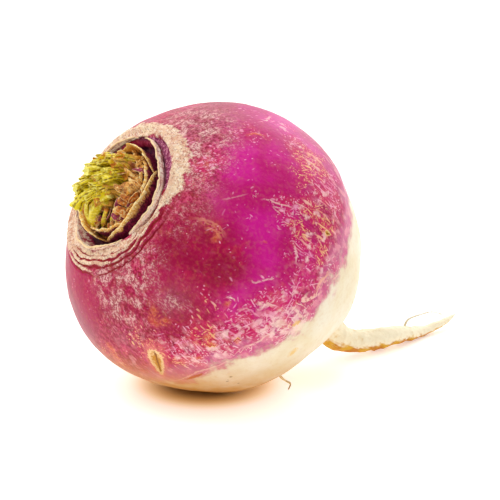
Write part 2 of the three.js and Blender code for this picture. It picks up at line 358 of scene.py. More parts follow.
# %% Corky band, crescent, trench and wrinkles
# degrees round the axis: distance from the axis in mm
CORK_OUTER = {-170: 22.4, -147: 21.8, -115: 21.2, -84: 22.4, -67: 25.2, -39: 26.6, -8: 24.5,
              21: 23.0, 90: 22.6, 145: 22.9}
CORK_INNER = {-170: 17.4, -115: 17.8, -84: 20.4, -67: 21.2, -44: 21.6, -14: 20.0, 21: 17.8, 145: 17.8}
TRENCH_INNER, TRENCH_OUTER, CUP_RADIUS = 12.6, 16.4, 13.4
CRESCENT_START, CRESCENT_END, CRESCENT_INNER = -66, 30, 17.2
WRINKLED_FROM, WRINKLED_TO, WRINKLE_SPACING = 19.3, 25.0, 1.45
ragged = 0.9 * layered(IN_CROWN, 5, 11) + 0.5 * layered(IN_CROWN, 1.6, 12)
cork_depth = np.minimum(by_angle(ROUND, CORK_OUTER) - OUT, OUT - by_angle(ROUND, CORK_INNER) + 0.4)
cork_depth = np.where(IN_CROWN[..., 2] > 25, cork_depth + ragged, -9)
cork = step(cork_depth, -0.2, 0.7)
crescent = CROWN_END * (inside(ROUND, CRESCENT_START, CRESCENT_END, 8)
                        * inside(OUT, CRESCENT_INNER, by_angle(ROUND, CORK_INNER), 0.5))
trench = CROWN_END * inside(OUT, TRENCH_INNER, TRENCH_OUTER * (1 + widening(np.radians(ROUND))), 0.6)
cup_floor = CROWN_END * step(CUP_RADIUS - OUT, -0.5, 0.5)
underneath = step(np.cos(np.radians(ROUND + 140)), 0.35, 0.75)
wrinkled = CROWN_END * underneath * inside(OUT, WRINKLED_FROM, WRINKLED_TO, 0.9)
wrinkle = np.sin(2 * np.pi * (OUT + 0.9 * layered(IN_CROWN, 7, 21)) / WRINKLE_SPACING)
cork_depth = cork_depth + 2.2 * wrinkled * np.maximum(wrinkle, 0)
print("corky points:", int((cork > 0.5).sum()), "wrinkled points:", int((wrinkled > 0.5).sum()))

# %% [markdown]
# A mark on the skin is remembered as its own small map: for each point of the root, how far along
# and across the nearest mark it lies, in units of the mark's half length and half width. The finish
# can then draw a crisp mark from numbers that vary slowly, on a mesh much coarser than the mark. A
# scar is where a leaf or a root was torn off, a blush is a rusty spot, and a dash is a short red
# line. A stain is a yellow spot on the flesh, a bare mark is where the purple was rubbed away, and a
# dot is a small brown speck.

# %% Marks on the skin
# [degrees from the crown, degrees round the axis, half length and half width in mm, turn in degrees,
# kind]
SCAR, BLUSH, DASH, STAIN, BARE, DOT = range(6)
MARKS = [[76.5, -149, 6.6, 2.4, -34, SCAR], [100, -60, 1.5, 0.9, 10, SCAR],
         [56, -130, 1.5, 1.3, 0, BLUSH], [62, -129, 1.5, 1.2, 50, BLUSH], [60, -134, 2.4, 1.6, 20, BLUSH],
         [66, -168, 2.2, 1.5, 20, BLUSH], [71, -169, 1.6, 1.0, 60, BLUSH], [86, -175, 1.8, 0.9, 70, BLUSH],
         [74, -105, 1.5, 1.1, 60, BLUSH], [74, -76, 0.8, 0.5, 10, BLUSH], [77, -121, 1.4, 0.8, 85, BLUSH],
         [81, -123, 1.5, 1.0, 20, BLUSH], [88, -116, 0.9, 0.8, 30, BLUSH], [83, -132, 1.4, 0.9, 45, BLUSH],
         [56, -84, 1.7, 1.0, 80, BLUSH], [91, -143, 3.6, 0.7, 88, DASH], [115, -110, 2.0, 1.3, 80, STAIN],
         [105, -98, 1.8, 1.2, 60, STAIN], [140, -75, 0.5, 0.4, 0, STAIN], [48, 60, 2.2, 1.0, 30, SCAR],
         [95, 75, 3.0, 1.2, 70, SCAR], [70, 120, 1.6, 1.2, 10, BLUSH], [84, 40, 1.5, 1.1, 60, BLUSH],
         [60, 95, 1.8, 0.8, 85, BLUSH], [100, 130, 2.6, 0.7, 80, DASH], [120, 20, 2.0, 1.4, 20, STAIN],
         [75, 10, 1.4, 0.9, 45, BLUSH], [125, 160, 2.0, 1.3, 0, STAIN],
         [97, -101, 3.2, 1.9, 20, BARE], [89, -105, 2.4, 1.4, 70, BARE], [107, -99, 2.3, 1.9, 0, BARE],
         [92, -99, 1.5, 1.1, 0, BARE], [83, -124, 2.2, 1.3, 40, BARE], [86, -113, 2.8, 0.9, 80, BARE],
         [80, -64, 0.9, 0.7, 0, BARE], [82, -57, 1.4, 0.8, 30, BARE], [77, -61, 0.6, 0.5, 0, BARE],
         [102, 70, 2.6, 1.6, 30, BARE], [101, -133, 0.9, 0.8, 0, DOT], [103, -137, 0.9, 0.6, 40, DOT],
         [109, -137, 0.8, 0.7, 0, DOT], [26, -174, 1.2, 0.8, 30, DOT]]


def nearest_mark():
    """For each point: place along and across in the nearest mark's map and distance from its middle,
    and that mark's kind. Along runs away from the crown, turned by the mark's own turn. A mark more
    than 60 degrees away is pushed out of reach."""
    best = np.full(OUT.shape, 1e9)
    found = np.zeros(OUT.shape + (3,))
    found_kind = np.zeros(OUT.shape)
    for from_crown, round_axis, long, wide, turn, kind in MARKS:
        middle = pointing(from_crown, round_axis)
        down = pointing(from_crown + 90, round_axis)
        across = np.cross(middle, down)
        offset = BULB_RADIUS * (DIRECTION - middle)
        t = np.radians(turn)
        u = (offset @ down) * np.cos(t) + (offset @ across) * np.sin(t)
        v = (offset @ across) * np.cos(t) - (offset @ down) * np.sin(t)
        away = np.hypot(u / long, v / wide) + 9 * (DIRECTION @ middle < 0.5)
        place = np.stack([u / long, v / wide, away], axis=-1)
        found = np.where((away < best)[..., None], place, found)
        found_kind = np.where(away < best, kind, found_kind)
        best = np.minimum(best, away)
    return found, found_kind


MARK, MARK_KIND = nearest_mark()
print(len(MARKS), "marks, with", int((MARK[..., 2] < 1).sum()), "points of the root inside them")

# %% [markdown]
# Long scratches are kept the same way, as a signed distance across a drawn line and a fraction
# along it. A signed distance passes smoothly through zero on the line, where a plain distance would
# have a crease that a coarse mesh can't hold. Some scratches are faint, so each has a strength too.

# %% Long scratches
# Each is its half width in mm, its tint from 0 (pale) to 1 (rusty), how strongly it shows, and its
# stops as [degrees from the crown, degrees round the axis].
SCRATCHES = [(0.45, 0.2, 1.0, [[102, -84], [101, -87], [101, -89], [104, -87], [107, -84], [109, -81]]),
             (0.60, 0.5, 0.9, [[105, -84], [105, -81], [106, -77], [109, -72]]),
             (0.35, 0.2, 0.6, [[112, -76], [114, -73], [116, -69]]),
             (0.30, 0.0, 0.5, [[76, -92], [78, -92], [80, -90]]),
             (0.42, 0.0, 0.6, [[80, -90], [82, -88], [85, -85]]),
             (0.30, 0.0, 0.9, [[72, -103], [74, -102], [76, -102]]),
             (0.45, 0.1, 0.9, [[96, -94], [100, -93], [103, -94], [106, -94], [108, -91]]),
             (0.55, 0.1, 0.7, [[83, -99], [86, -97], [91, -96]]),
             (0.45, 0.1, 0.7, [[91, -118], [95, -112], [97, -106], [101, -104]]),
             (0.35, 0.2, 0.6, [[89, -159], [90, -150], [89, -140], [91, -131], [94, -121]]),
             (0.28, 0.0, 0.6, [[67, -60], [70, -59], [74, -59], [82, -58]]),
             (0.22, 0.0, 0.4, [[72, -61], [74, -62], [77, -63]]),
             (0.25, 0.0, 0.25, [[52, -66], [57, -63], [62, -59]]),
             (0.45, 1.0, 0.6, [[61, -27], [65, -26], [69, -26]]),
             (0.35, 0.0, 0.6, [[70, -13], [72, -14], [77, -8]]),
             (0.55, 0.7, 0.45, [[44, -80], [50, -78], [56, -79], [60, -81]]),
             (0.45, 0.8, 0.5, [[50, -82], [55, -81], [59, -84]]),
             (0.50, 0.6, 0.9, [[85, -29], [90, -28], [97, -31]]),
             (0.50, 0.4, 0.9, [[84, -32], [88, -33], [94, -35]]),
             (0.45, 0.3, 0.8, [[84, -53], [87, -53], [90, -54]]),
             (0.40, 0.0, 0.6, [[85, -71], [88, -74], [90, -78]]),
             (0.30, 0.2, 0.7, [[90, 60], [95, 66], [97, 74], [103, 78]]),
             (0.35, 0.5, 0.7, [[70, 100], [77, 104], [82, 112], [90, 113]]),
             (0.30, 0.0, 0.7, [[92, 150], [96, 160], [93, 172]]),
             (0.35, 0.1, 0.7, [[80, 20], [86, 26], [93, 27]])]


def nearest_scratch():
    """For each point: signed distance across the nearest scratch, fraction along it from 0 to 1, and
    distance from it, with both distances over the scratch's half width. Its tint and strength too.
    A scratch is taken as straight between close stops, and its two ends are drawn out past the last
    stops, so that the fraction runs below 0 and above 1 there."""
    best = np.full(OUT.shape, 1e9)
    found, found_look = np.zeros(OUT.shape + (3,)), np.zeros(OUT.shape + (3,))
    for half_width, tint, strength, stops in SCRATCHES:
        line = curve_through([BULB_RADIUS * pointing(*stop) for stop in stops], 6)
        length = np.concatenate([[0], np.cumsum(np.linalg.norm(np.diff(line, axis=0), axis=1))])
        for i in range(len(line) - 1):
            start, run = line[i], line[i + 1] - line[i]
            offset = BULB_RADIUS * DIRECTION - start
            part = (offset @ run) / (run @ run)
            part = np.clip(part, 0 if i else -2, 1 if i < len(line) - 2 else 3)
            gap = offset - part[..., None] * run
            away = np.linalg.norm(gap, axis=-1)
            side = np.sign(np.sum(gap * np.cross(run, start), axis=-1))
            along = (length[i] + part * np.linalg.norm(run)) / length[-1]
            place = np.stack([side * away / half_width, along, away / half_width], axis=-1)
            found = np.where((away < best)[..., None], place, found)
            found_look = np.where((away < best)[..., None], [tint, strength, 0], found_look)
            best = np.minimum(best, away)
    return found, found_look


SCRATCH, SCRATCH_LOOK = nearest_scratch()
print(len(SCRATCHES), "scratches, with", int((SCRATCH[..., 2] < 1).sum()), "points of the root in them")

# %% [markdown]
# Now the heights are added up and the root is drawn out along its normals. The taproot gets the
# pinched rings that all thin roots have, fading out at its tip, and the belly is kept from reaching
# below the ground.

# %% Adding the relief
CRESCENT_DEPTH, WRINKLE_HEIGHT, LIP_HEIGHT, SCAR_DEPTH = 0.9, 0.42, 0.22, 0.35


def root_relief():
    """Heights in millimetres: lumps on the bulb, pitted cork, wrinkles, the sunken crescent, ribs in
    the trench, a rough cup floor, scars with raised lips, and pinched rings on the taproot."""
    bulb = (1 - TAPROOT) * (1 - cork)
    height = 0.16 * layered(IN_CROWN, 11, 1) * bulb + 0.03 * layered(IN_CROWN, 1.8, 5) * bulb
    height += cork * (0.12 + 0.13 * layered(IN_CROWN, 1.5, 6) + 0.10 * unevenness(IN_CROWN, 0.8, 7))
    height += wrinkled * (WRINKLE_HEIGHT * wrinkle - 0.1)
    height -= CRESCENT_DEPTH * crescent
    height += trench * 0.25 * layered(IN_CROWN * [1, 1, 0.3], 2.5, 8)
    height += cup_floor * 0.5 * layered(IN_CROWN, 1.8, 9)
    away = MARK[..., 2]
    scar = (MARK_KIND == SCAR) * (LIP_HEIGHT * np.exp(-((away - 1.0) / 0.35) ** 2)
                                  - SCAR_DEPTH * step(1 - away, 0, 0.6))
    blush = (MARK_KIND == BLUSH) * 0.10 * np.exp(-away**2)
    height += scar + blush
    ring_place = np.stack([ROOT_DISTANCE + 0.8 * np.cos(ROOT_ANGLE + 0.3 * ROOT_DISTANCE),
                           1.5 * np.cos(ROOT_ANGLE), 1.5 * np.sin(ROOT_ANGLE)], axis=-1)
    size = step(ROOT_END - ROOT_DISTANCE, 0, 18)
    height += TAPROOT * size * (0.34 * layered(ring_place, 2.6, 13) + 0.10 * unevenness(ring_place, 1, 14))
    height += TAPROOT * size * 0.22 * layered(IN_CROWN * [1, 1, 0.25], 2.2, 15)
    return height


RELIEF = root_relief()
ROOT_SHAPE = ROOT + normals(ROOT) * RELIEF[..., None]
ROOT_SHAPE[..., 2] = np.maximum(ROOT_SHAPE[..., 2], 0)
print("relief from", RELIEF.min().round(2), "to", RELIEF.max().round(2), "mm")

# %% [markdown]
# ## Where the colours go
# The colours of the skin are mixed later by its finish. What the finish needs from the shape is
# where things are: how far each point is inside the purple, and how thickly dust, scrapes and
# crimson lie. Deep is where the purple is a clear magenta, faded where it has gone greyish, and
# golden where scrapes have dried yellow. These vary slowly, so they are stored on the vertices, and
# the finish breaks their edges up with fine noise.

# %% Maps for the skin's finish
# degrees round the axis: degrees from the crown
PURPLE_EDGE = {-40: 118, -60: 117, -70: 114, -88: 112, -94: 108, -105: 104, -112: 101, -121: 95,
               -134: 91, -148: 90, -162: 90, 180: 95, 140: 103, 90: 110, 40: 114, 0: 117}
# soft patches, each [degrees from the crown, degrees round the axis, spread in degrees, amount]
DUST = [[37, -131, 7, 0.8], [36, -153, 7, 0.9], [43, -146, 8, 1.0], [48, -142, 8, 0.8], [50, -160, 8, 0.2],
        [60, -152, 8, 0.4], [51, -139, 8, 0.8], [58, -119, 6, 0.7], [50, -17, 10, 0.8],
        [45, -32, 10, 0.9], [42, -50, 9, 0.7], [43, -72, 7, 0.6], [41, -87, 6, 0.6],
        [40, -116, 7, 0.9], [38, -131, 8, 1.0], [44, 2, 12, 0.9], [36, -20, 8, 0.8], [48, 60, 14, 0.8],
        [40, 120, 12, 0.8], [60, 150, 12, 0.6]]
CRIMSON = [[37, 166, 11, 1.2], [71, -88, 10, 0.35], [52, -93, 14, 1.0], [60, -97, 11, 0.8],
           [48, -100, 11, 0.8], [51, -116, 9, 0.5], [52, -130, 11, 0.7], [66, -123, 11, 0.6],
           [41, -177, 10, 0.8], [58, 176, 12, 0.7], [44, -155, 10, 0.8], [46, -171, 9, 0.9],
           [34, -137, 6, 0.6], [60, 80, 18, 0.7], [75, 140, 14, 0.7], [45, 100, 12, 0.5]]
SCRAPED = [[64, -146, 8, 0.7], [74, -170, 8, 0.6], [99, -40, 8, 0.8], [92, -37, 9, 1.0],
           [86, -29, 9, 1.0], [96, -50, 9, 1.0], [94, -64, 8, 1.0], [85, -60, 8, 1.0],
           [77, -58, 5, 0.5], [90, -72, 7, 0.7], [95, -87, 7, 0.8], [88, -95, 7, 0.7],
           [95, -101, 8, 1.0], [87, -100, 6, 0.8], [104, -98, 8, 1.0], [84, -110, 8, 0.9],
           [84, -122, 8, 0.9], [106, -73, 8, 0.7], [45, -50, 5, 0.6], [47, -43, 5, 0.6],
           [64, -26, 7, 0.6], [79, -14, 8, 0.6], [69, -107, 6, 0.6], [74, -122, 7, 0.7],
           [74, -134, 7, 0.7], [80, -134, 8, 0.8], [88, 100, 16, 0.8], [95, 50, 12, 0.9],
           [80, 160, 12, 0.8], [70, 60, 10, 0.6], [95, 10, 12, 0.8]]
FADED = [[30, 150, 12, 0.3], [50, 168, 9, 0.3], [57, 174, 10, 0.8], [67, 174, 10, 0.9],
         [50, -10, 14, 0.9], [62, 5, 14, 0.7], [57, -119, 7, 0.6], [41, -24, 9, 0.6],
         [62, -152, 8, 0.5], [47, -68, 8, 0.3]]
DEEP = [[82, -70, 22, 1.0], [68, -42, 20, 0.9], [88, -98, 12, 0.7], [60, -62, 12, 0.6],
        [70, -84, 12, 0.2], [75, -103, 15, 0.55], [78, -10, 24, 0.9], [95, -30, 14, 0.8],
        [90, 40, 20, 0.8], [75, 105, 22, 0.8], [92, 168, 14, 0.6]]
GOLDEN = [[65, -147, 8, 0.8], [74, -171, 9, 0.8], [90, -31, 8, 1.0], [96, -56, 7, 1.0],
          [82, -146, 8, 0.7], [101, -70, 5, 0.7], [81, -44, 7, 0.6], [87, -64, 7, 0.6],
          [70, -112, 6, 0.6], [77, -122, 6, 0.6], [92, 90, 12, 0.8], [80, 20, 8, 0.8]]


def spread_over(places):
    """The sum of soft patches, each a bell over the angle from its middle, kept from 0 to 1."""
    total = np.zeros(OUT.shape)
    for from_crown, round_axis, spread, amount in places:
        away = np.degrees(np.arccos(np.clip(DIRECTION @ pointing(from_crown, round_axis), -1, 1)))
        total += amount * np.exp(-(away / spread) ** 2)
    return np.clip(total, 0, 1)


root = grid_piece("root_skin", ROOT_SHAPE, {
    "purple_depth": np.radians(by_angle(ROUND, PURPLE_EDGE) - FROM_CROWN) * BULB_RADIUS,
    "cork_depth": cork_depth,
    "crescent": crescent,
    "trench": trench,
    "cup_floor": cup_floor,
    "groove": wrinkled * step(-wrinkle, 0.1, 0.9),
    "taproot": TAPROOT,
    "dust": spread_over(DUST),
    "crimson": spread_over(CRIMSON),
    "scraped": spread_over(SCRAPED),
    "faded": spread_over(FADED),
    "deep": spread_over(DEEP),
    "golden": spread_over(GOLDEN),
    # painted shade: 1 near the ground, fading out 24 mm up, over the belly's own yellower tone
    "painted_belly_shade": step(24 - ROOT_SHAPE[..., 2], 0, 22) * (1 - TAPROOT),
    # painted shade: where the taproot faces the ground
    "under": step(-normals(ROOT_SHAPE)[..., 2], 0.0, 0.9) * TAPROOT,
    "mark": MARK,
    "mark_kind": MARK_KIND,
    "scratch": SCRATCH,
    "scratch_look": SCRATCH_LOOK,
})
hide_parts("turnip_root")
print("root:", len(root.data.vertices), "vertices,", len(root.data.polygons), "faces")

# %% [markdown]
# ## Mixing a finish
# A finish is a tree of nodes, and long trees are easier to read as sums. The small class below lets
# Python's own signs add the math nodes: multiplying two quantities adds a Multiply node. Object
# coordinates are scaled to millimetres once, so that every pattern's size is a real size.

# %% A finish and the quantities it is mixed from


class Quantity:
    """A number or colour flowing between nodes. Arithmetic on it adds math nodes."""

    def __init__(self, finish, socket):
        self.finish, self.socket = finish, socket

    def __add__(self, other):
        return self.finish.maths("ADD", self, other)

    def __mul__(self, other):
        return self.finish.maths("MULTIPLY", self, other)

    def __sub__(self, other):
        return self.finish.maths("SUBTRACT", self, other)

    def __rsub__(self, other):
        return self.finish.maths("SUBTRACT", other, self)

    def __truediv__(self, other):
        return self.finish.maths("DIVIDE", self, other)

    def __abs__(self):
        return self.finish.maths("ABSOLUTE", self, 0)

    __radd__, __rmul__ = __add__, __mul__


def paint(red, green, blue):
    """A colour given from 0 to 255 as screens show it, as the amounts of light nodes want."""
    c = np.array([red, green, blue]) / 255
    linear = np.where(c <= 0.04045, c / 12.92, ((c + 0.055) / 1.055) ** 2.4)
    return (*linear.tolist(), 1.0)


class Finish:
    """A material being mixed. Sizes and heights are in millimetres."""

    def __init__(self, name, **constants):
        self.material = bpy.data.materials.new(name)
        self.material.use_nodes = True
        self.tree = self.material.node_tree
        self.shader = self.tree.nodes["Principled BSDF"]
        for key, value in constants.items():
            self.shader.inputs[key.replace("_", " ")].default_value = value
        coordinates = self.add("ShaderNodeTexCoord")
        scaled = self.add("ShaderNodeVectorMath", {0: coordinates.outputs["Object"], 1: (1000,) * 3},
                          operation="MULTIPLY")
        self.place = Quantity(self, scaled.outputs[0])

    def add(self, kind, inputs=None, **settings):
        """A new node. Each input is given as a quantity, a socket to link or a plain value."""
        node = self.tree.nodes.new(kind)
        for key, value in settings.items():
            setattr(node, key, value)
        for key, value in (inputs or {}).items():
            if isinstance(value, Quantity):
                value = value.socket
            if isinstance(value, bpy.types.NodeSocket):
                self.tree.links.new(value, node.inputs[key])
            else:
                node.inputs[key].default_value = value
        return node

    def maths(self, operation, a, b):
        """The result of one math node on two quantities or numbers."""
        return Quantity(self, self.add("ShaderNodeMath", {0: a, 1: b}, operation=operation).outputs[0])

    def read(self, attribute):
        """A number stored on the piece's vertices."""
        node = self.add("ShaderNodeAttribute", attribute_name=attribute)
        return Quantity(self, node.outputs["Fac"])

    def read_three(self, attribute):
        """Three numbers stored on the piece's vertices."""
        node = self.add("ShaderNodeAttribute", attribute_name=attribute)
        parts = self.add("ShaderNodeSeparateXYZ", {0: node.outputs["Vector"]})
        return [Quantity(self, socket) for socket in parts.outputs]

    def squeezed(self, turn, stretch, place=None):
        """Places for a pattern drawn out along one direction: the z axis turned by these degrees."""
        node = self.add("ShaderNodeMapping", {"Vector": place or self.place, "Scale": (1, 1, stretch),
                                              "Rotation": np.radians(turn)}, vector_type="TEXTURE")
        return Quantity(self, node.outputs[0])

    def noise(self, size, detail=2.0, place=None, distortion=0.0, roughness=0.5):
        """Cloudy numbers from 0 to 1, mostly near the middle."""
        node = self.add("ShaderNodeTexNoise", {"Vector": place or self.place, "Scale": 1 / size,
                                               "Detail": detail, "Distortion": distortion,
                                               "Roughness": roughness})
        return Quantity(self, node.outputs[0])

    def rising(self, value, low, high):
        """0 at low, 1 at high, easing between; low may be above high."""
        node = self.add("ShaderNodeMapRange", {"Value": value, "From Min": low, "From Max": high},
                        interpolation_type="SMOOTHSTEP")
        return Quantity(self, node.outputs[0])

    def mix(self, amount, one, other):
        """Colours: one where the amount is 0 and the other where it is 1."""
        node = self.add("ShaderNodeMix", {0: amount, 6: one, 7: other}, data_type="RGBA")
        return Quantity(self, node.outputs[2])

    def wear(self, colour, roughness, height):
        """Gives the shader its colour and roughness, and a bump of heights in millimetres."""
        bump = self.add("ShaderNodeBump", {"Height": height, "Distance": MM, "Strength": 1.0})
        for key, value in {"Base Color": colour, "Roughness": roughness}.items():
            self.tree.links.new(value.socket, self.shader.inputs[key])
        self.tree.links.new(bump.outputs[0], self.shader.inputs["Normal"])

    def put_on(self, *pieces):
        """Makes this the material of the pieces."""
        for piece in pieces:
            piece.data.materials.append(self.material)
        print(f"{self.material.name}: {len(self.tree.nodes)} nodes, pieces: {len(pieces)}")


# %% [markdown]
# ## The skin
# A turnip's colour is a thin purple skin over cream flesh, and it goes down in layers here as well:
# flesh first, then purple where the shoulder saw the sun, then everything that happened to it since.
# Fibres and worn streaks run from the crown to the taproot, so the noise for them is drawn out along
# the plant's axis. Between purple and flesh lies a ragged edge, with a lilac band just inside it.

# %% Skin: flesh and purple
# turns of the z axis in degrees: along the plant's axis, and a little off it
ALONG_AXIS, ALONG_NAP = (0, -54, 0), (0, -48, 0)


def inside_edge(depth):
    """A lilac band just inside the purple's edge: it rises and falls again within ten millimetres."""
    return skin.rising(depth, -2, 2) * skin.rising(depth, 10, 4)


skin = Finish("turnip_skin", IOR=1.45, Specular_IOR_Level=0.14, Sheen_Weight=0.04, Sheen_Roughness=0.35)
grain = skin.noise(0.42, 2)
speck = skin.noise(1.0, 3)
mottle = skin.noise(4.5, 2)
patch = skin.noise(13, 2)
streak = skin.noise(1.8, 2, skin.squeezed(ALONG_AXIS, 8))
dust, scraped = skin.read("dust"), skin.read("scraped")

flesh = skin.mix(skin.rising(patch, 0.35, 0.68), paint(238, 229, 208), paint(231, 216, 182))
flesh = skin.mix(skin.rising(streak, 0.5, 0.85) * 0.2, flesh, paint(228, 204, 150))
magenta = skin.mix(skin.rising(patch, 0.38, 0.62), paint(184, 2, 104), paint(204, 16, 138))
rose = skin.mix(skin.rising(mottle, 0.35, 0.65), paint(162, 10, 58), paint(192, 42, 92))
purple = skin.mix(skin.rising(skin.read("deep") + (mottle - 0.5) * 0.6, 0.05, 0.95), rose, magenta)
crimson = skin.mix(skin.rising(patch, 0.4, 0.6), paint(150, 0, 58), paint(170, 2, 74))
crimson = skin.mix(skin.rising(speck + (mottle - 0.5) * 1.5, 0.5, 0.9) * 0.4, crimson, paint(200, 20, 76))
purple = skin.mix(skin.rising(skin.read("crimson") + (mottle - 0.5) * 0.7, 0.05, 0.95), purple, crimson)
purple = skin.mix(skin.read("faded") * 0.65, purple, paint(166, 92, 110))
worn = skin.rising(skin.read("deep") + skin.read("crimson") * 0.9, 0.9, 0.2) * 0.22 + scraped * 0.15
worn = worn + dust * 0.2 + 0.03
nap = skin.noise(0.5, 2, skin.squeezed(ALONG_NAP, 3)) + (speck - 0.5) * 0.8
purple = skin.mix(skin.rising(nap, 0.52, 0.68) * worn, purple, paint(228, 112, 144))
purple = skin.mix(skin.rising(nap, 0.5, 0.34) * worn * 2.0, purple, paint(124, 0, 40))
purple = skin.mix(skin.rising(streak, 0.52, 0.76) * 0.1, purple, paint(226, 110, 156))
edge = skin.read("purple_depth") + (patch - 0.5) * 9 + (mottle - 0.5) * 12 + (speck - 0.5) * 4
stained = skin.rising(edge, -3.4, 3.4)
colour = skin.mix(stained + skin.rising(edge, -8.0, 2.0) * 0.12, flesh, purple)
colour = skin.mix(inside_edge(edge) * 0.45, colour, paint(222, 130, 180))
wash = skin.noise(2.6, 3, skin.squeezed(ALONG_AXIS, 1.8))
near_edge = skin.rising(edge, 24, 8) * stained
colour = skin.mix(skin.rising(wash, 0.52, 0.64) * near_edge * 0.5, colour, paint(240, 168, 176))
colour = skin.mix(skin.rising(wash, 0.47, 0.36) * near_edge * 0.5, colour, paint(190, 26, 120))
print("nodes after flesh and purple:", len(skin.tree.nodes))

# %% [markdown]
# Dust and scrapes are pale specks and strokes: places where the waxy skin is broken and dry. They
# gather where the maps say. A stroke is one cell of a stretched cell pattern, drawn only if the
# cell's own random number falls below the local density. On a round bulb each direction gives short
# strokes where it runs along the surface, so a few directions together cover it with strokes lying
# every way. A slow noise pushes the cells about, so the strokes bend.

# %% Skin: dust and scrapes
dots = skin.noise(0.4, 2, skin.squeezed(ALONG_NAP, 2.6))
drifted = skin.rising(skin.noise(3.2, 2, skin.squeezed(ALONG_NAP, 2)), 0.36, 0.62) * dust
powder = skin.rising(dots + (speck - 0.5) * 0.6 + drifted * 0.1, 0.545, 0.67) * drifted
colour = skin.mix(drifted * 0.38 * stained, colour, paint(184, 112, 118))
colour = skin.mix(powder * 0.68 * stained, colour, paint(238, 200, 192))

cluster = skin.rising(skin.noise(4.5, 2) + scraped * 0.26, 0.5, 0.7)
push = skin.add("ShaderNodeTexNoise", {"Vector": skin.place, "Scale": 1 / 5, "Detail": 1.0})
pushed = skin.add("ShaderNodeVectorMath", {0: push.outputs["Color"], 1: (2, 2, 2), 2: skin.place},
                  operation="MULTIPLY_ADD")
wandering = Quantity(skin, pushed.outputs[0])


def strokes(turn, size, stretch, density):
    """Strokes along one direction: 1 in the middle of each stretched cell that is drawn."""
    cell = skin.add("ShaderNodeTexVoronoi", {"Vector": skin.squeezed(turn, stretch, wandering),
                                             "Scale": 1 / size})
    luck = skin.add("ShaderNodeSeparateColor", {0: cell.outputs["Color"]})
    drawn = skin.rising(density - Quantity(skin, luck.outputs[0]), 0, 0.04)
    strength = Quantity(skin, luck.outputs[1]) * 0.6 + 0.4
    return skin.rising(Quantity(skin, cell.outputs["Distance"]), 0.31, 0.14) * drawn * strength


density = cluster * (scraped * 0.64 + 0.08) + skin.read("deep") * 0.02 + 0.02
# turn of the strokes in degrees, width of a cell in mm, how many times longer than wide
STROKES = [((0, -40, 0), 0.9, 13), ((8, -62, 0), 1.0, 11), ((0, -88, 20), 0.8, 13),
           ((-12, -20, 0), 0.8, 10), ((0, 28, 0), 1.0, 10), ((20, 64, 0), 0.8, 11),
           ((70, 0, 40), 0.8, 10), ((0, -50, 0), 1.4, 8)]
scrape = strokes(*STROKES[0], density)
for turn, size, stretch in STROKES[1:]:
    scrape = skin.maths("MAXIMUM", scrape, strokes(turn, size, stretch, density))
scrape = scrape * skin.rising(edge, -5, 0)
raw = cluster * scraped * skin.rising(mottle, 0.3, 0.6)
colour = skin.mix(raw * 0.55 * stained, colour, paint(204, 14, 74))
scrape_tint = skin.mix(skin.rising(skin.read("golden") + (mottle - 0.5) * 0.8, 0.2, 0.5),
                       paint(246, 172, 204), paint(252, 202, 140))
scrape_tint = skin.mix(skin.rising(edge, 12, 2) * 0.8, scrape_tint, paint(252, 232, 220))
colour = skin.mix(scrape * 0.85, colour, scrape_tint)
bare = skin.rising(skin.noise(2.6, 3) + scraped * 0.08 + skin.rising(edge, 10, 0) * 0.08, 0.62, 0.78)
colour = skin.mix(bare * skin.rising(scraped, 0.3, 0.8) * 0.7, colour, paint(246, 208, 204))
pinpoints = skin.add("ShaderNodeTexVoronoi", {"Vector": skin.place, "Scale": 1 / 4})
glint = skin.rising(Quantity(skin, pinpoints.outputs["Distance"]), 0.05, 0.02)
colour = skin.mix(glint * stained * 0.7, colour, paint(250, 216, 224))
print("nodes after dust and scrapes:", len(skin.tree.nodes))

# %% [markdown]
# The single marks are drawn from their own maps, each kind with its own outline: a scar is a
# leaf-shaped hollow with a pale lip, and the others are round or oval in their own map, with ragged
# edges. A long scratch wanders a little to both sides of its line and thins out at its ends. The belly
# is painted golden brown towards the ground: painted shade and painted warm light bounced up from the
# floor, over the flesh's own yellower tone.

# %% Skin: single marks, long scratches and painted belly shade
along, across, away = skin.read_three("mark")
kind = skin.read("mark_kind")
here = skin.rising(away, 1.9, 1.6)
ragged_edge = (skin.noise(0.7, 2) - 0.5) * 1.3


def of_kind(number):
    """1 on and close to the marks of one kind. Compare allows half a step of difference."""
    return skin.maths("COMPARE", kind, float(number)) * here


leaf_width = 0.64 - along * 0.34
square = along * along + (across / leaf_width) * (across / leaf_width) * 0.45
leaf = skin.maths("SQRT", square, 0) + ragged_edge * 0.6
round_spot = skin.maths("SQRT", along * along + across * across, 0) + ragged_edge
scar = of_kind(SCAR)
colour = skin.mix(skin.rising(leaf, 1.6, 1.0) * scar * 0.5, colour, paint(230, 130, 120))
colour = skin.mix(skin.rising(leaf, 1.0, 0.85) * scar, colour, paint(240, 204, 150))
colour = skin.mix(skin.rising(leaf + ragged_edge * 0.3, 0.85, 0.35) * scar, colour, paint(196, 132, 40))
vein = skin.rising(abs(across + ragged_edge * 0.3), 0.2, 0.05) * skin.rising(leaf, 0.8, 0.6)
colour = skin.mix(vein * scar, colour, paint(132, 70, 20))
blush = of_kind(BLUSH)
rusty = skin.mix(skin.rising(speck, 0.4, 0.6), paint(214, 88, 66), paint(234, 140, 92))
colour = skin.mix(skin.rising(round_spot, 1.4, 0.0) * blush * 0.65, colour, rusty)
colour = skin.mix(skin.rising(round_spot + grain - 0.5, 0.35, 0.0) * blush * 0.7, colour, paint(168, 76, 30))
dash = of_kind(DASH)
colour = skin.mix(skin.rising(round_spot, 1.2, 0.7) * dash, colour, paint(176, 30, 48))
bald = skin.mix(skin.rising(grain + (speck - 0.5), 0.4, 0.62), paint(246, 214, 196), paint(246, 234, 206))
bald = skin.mix(skin.rising(edge, 14, 5), paint(242, 170, 200), bald)
colour = skin.mix(skin.rising(round_spot + (grain - 0.5), 1.2, 0.3) * of_kind(BARE) * 0.65, colour, bald)
stain = of_kind(STAIN)
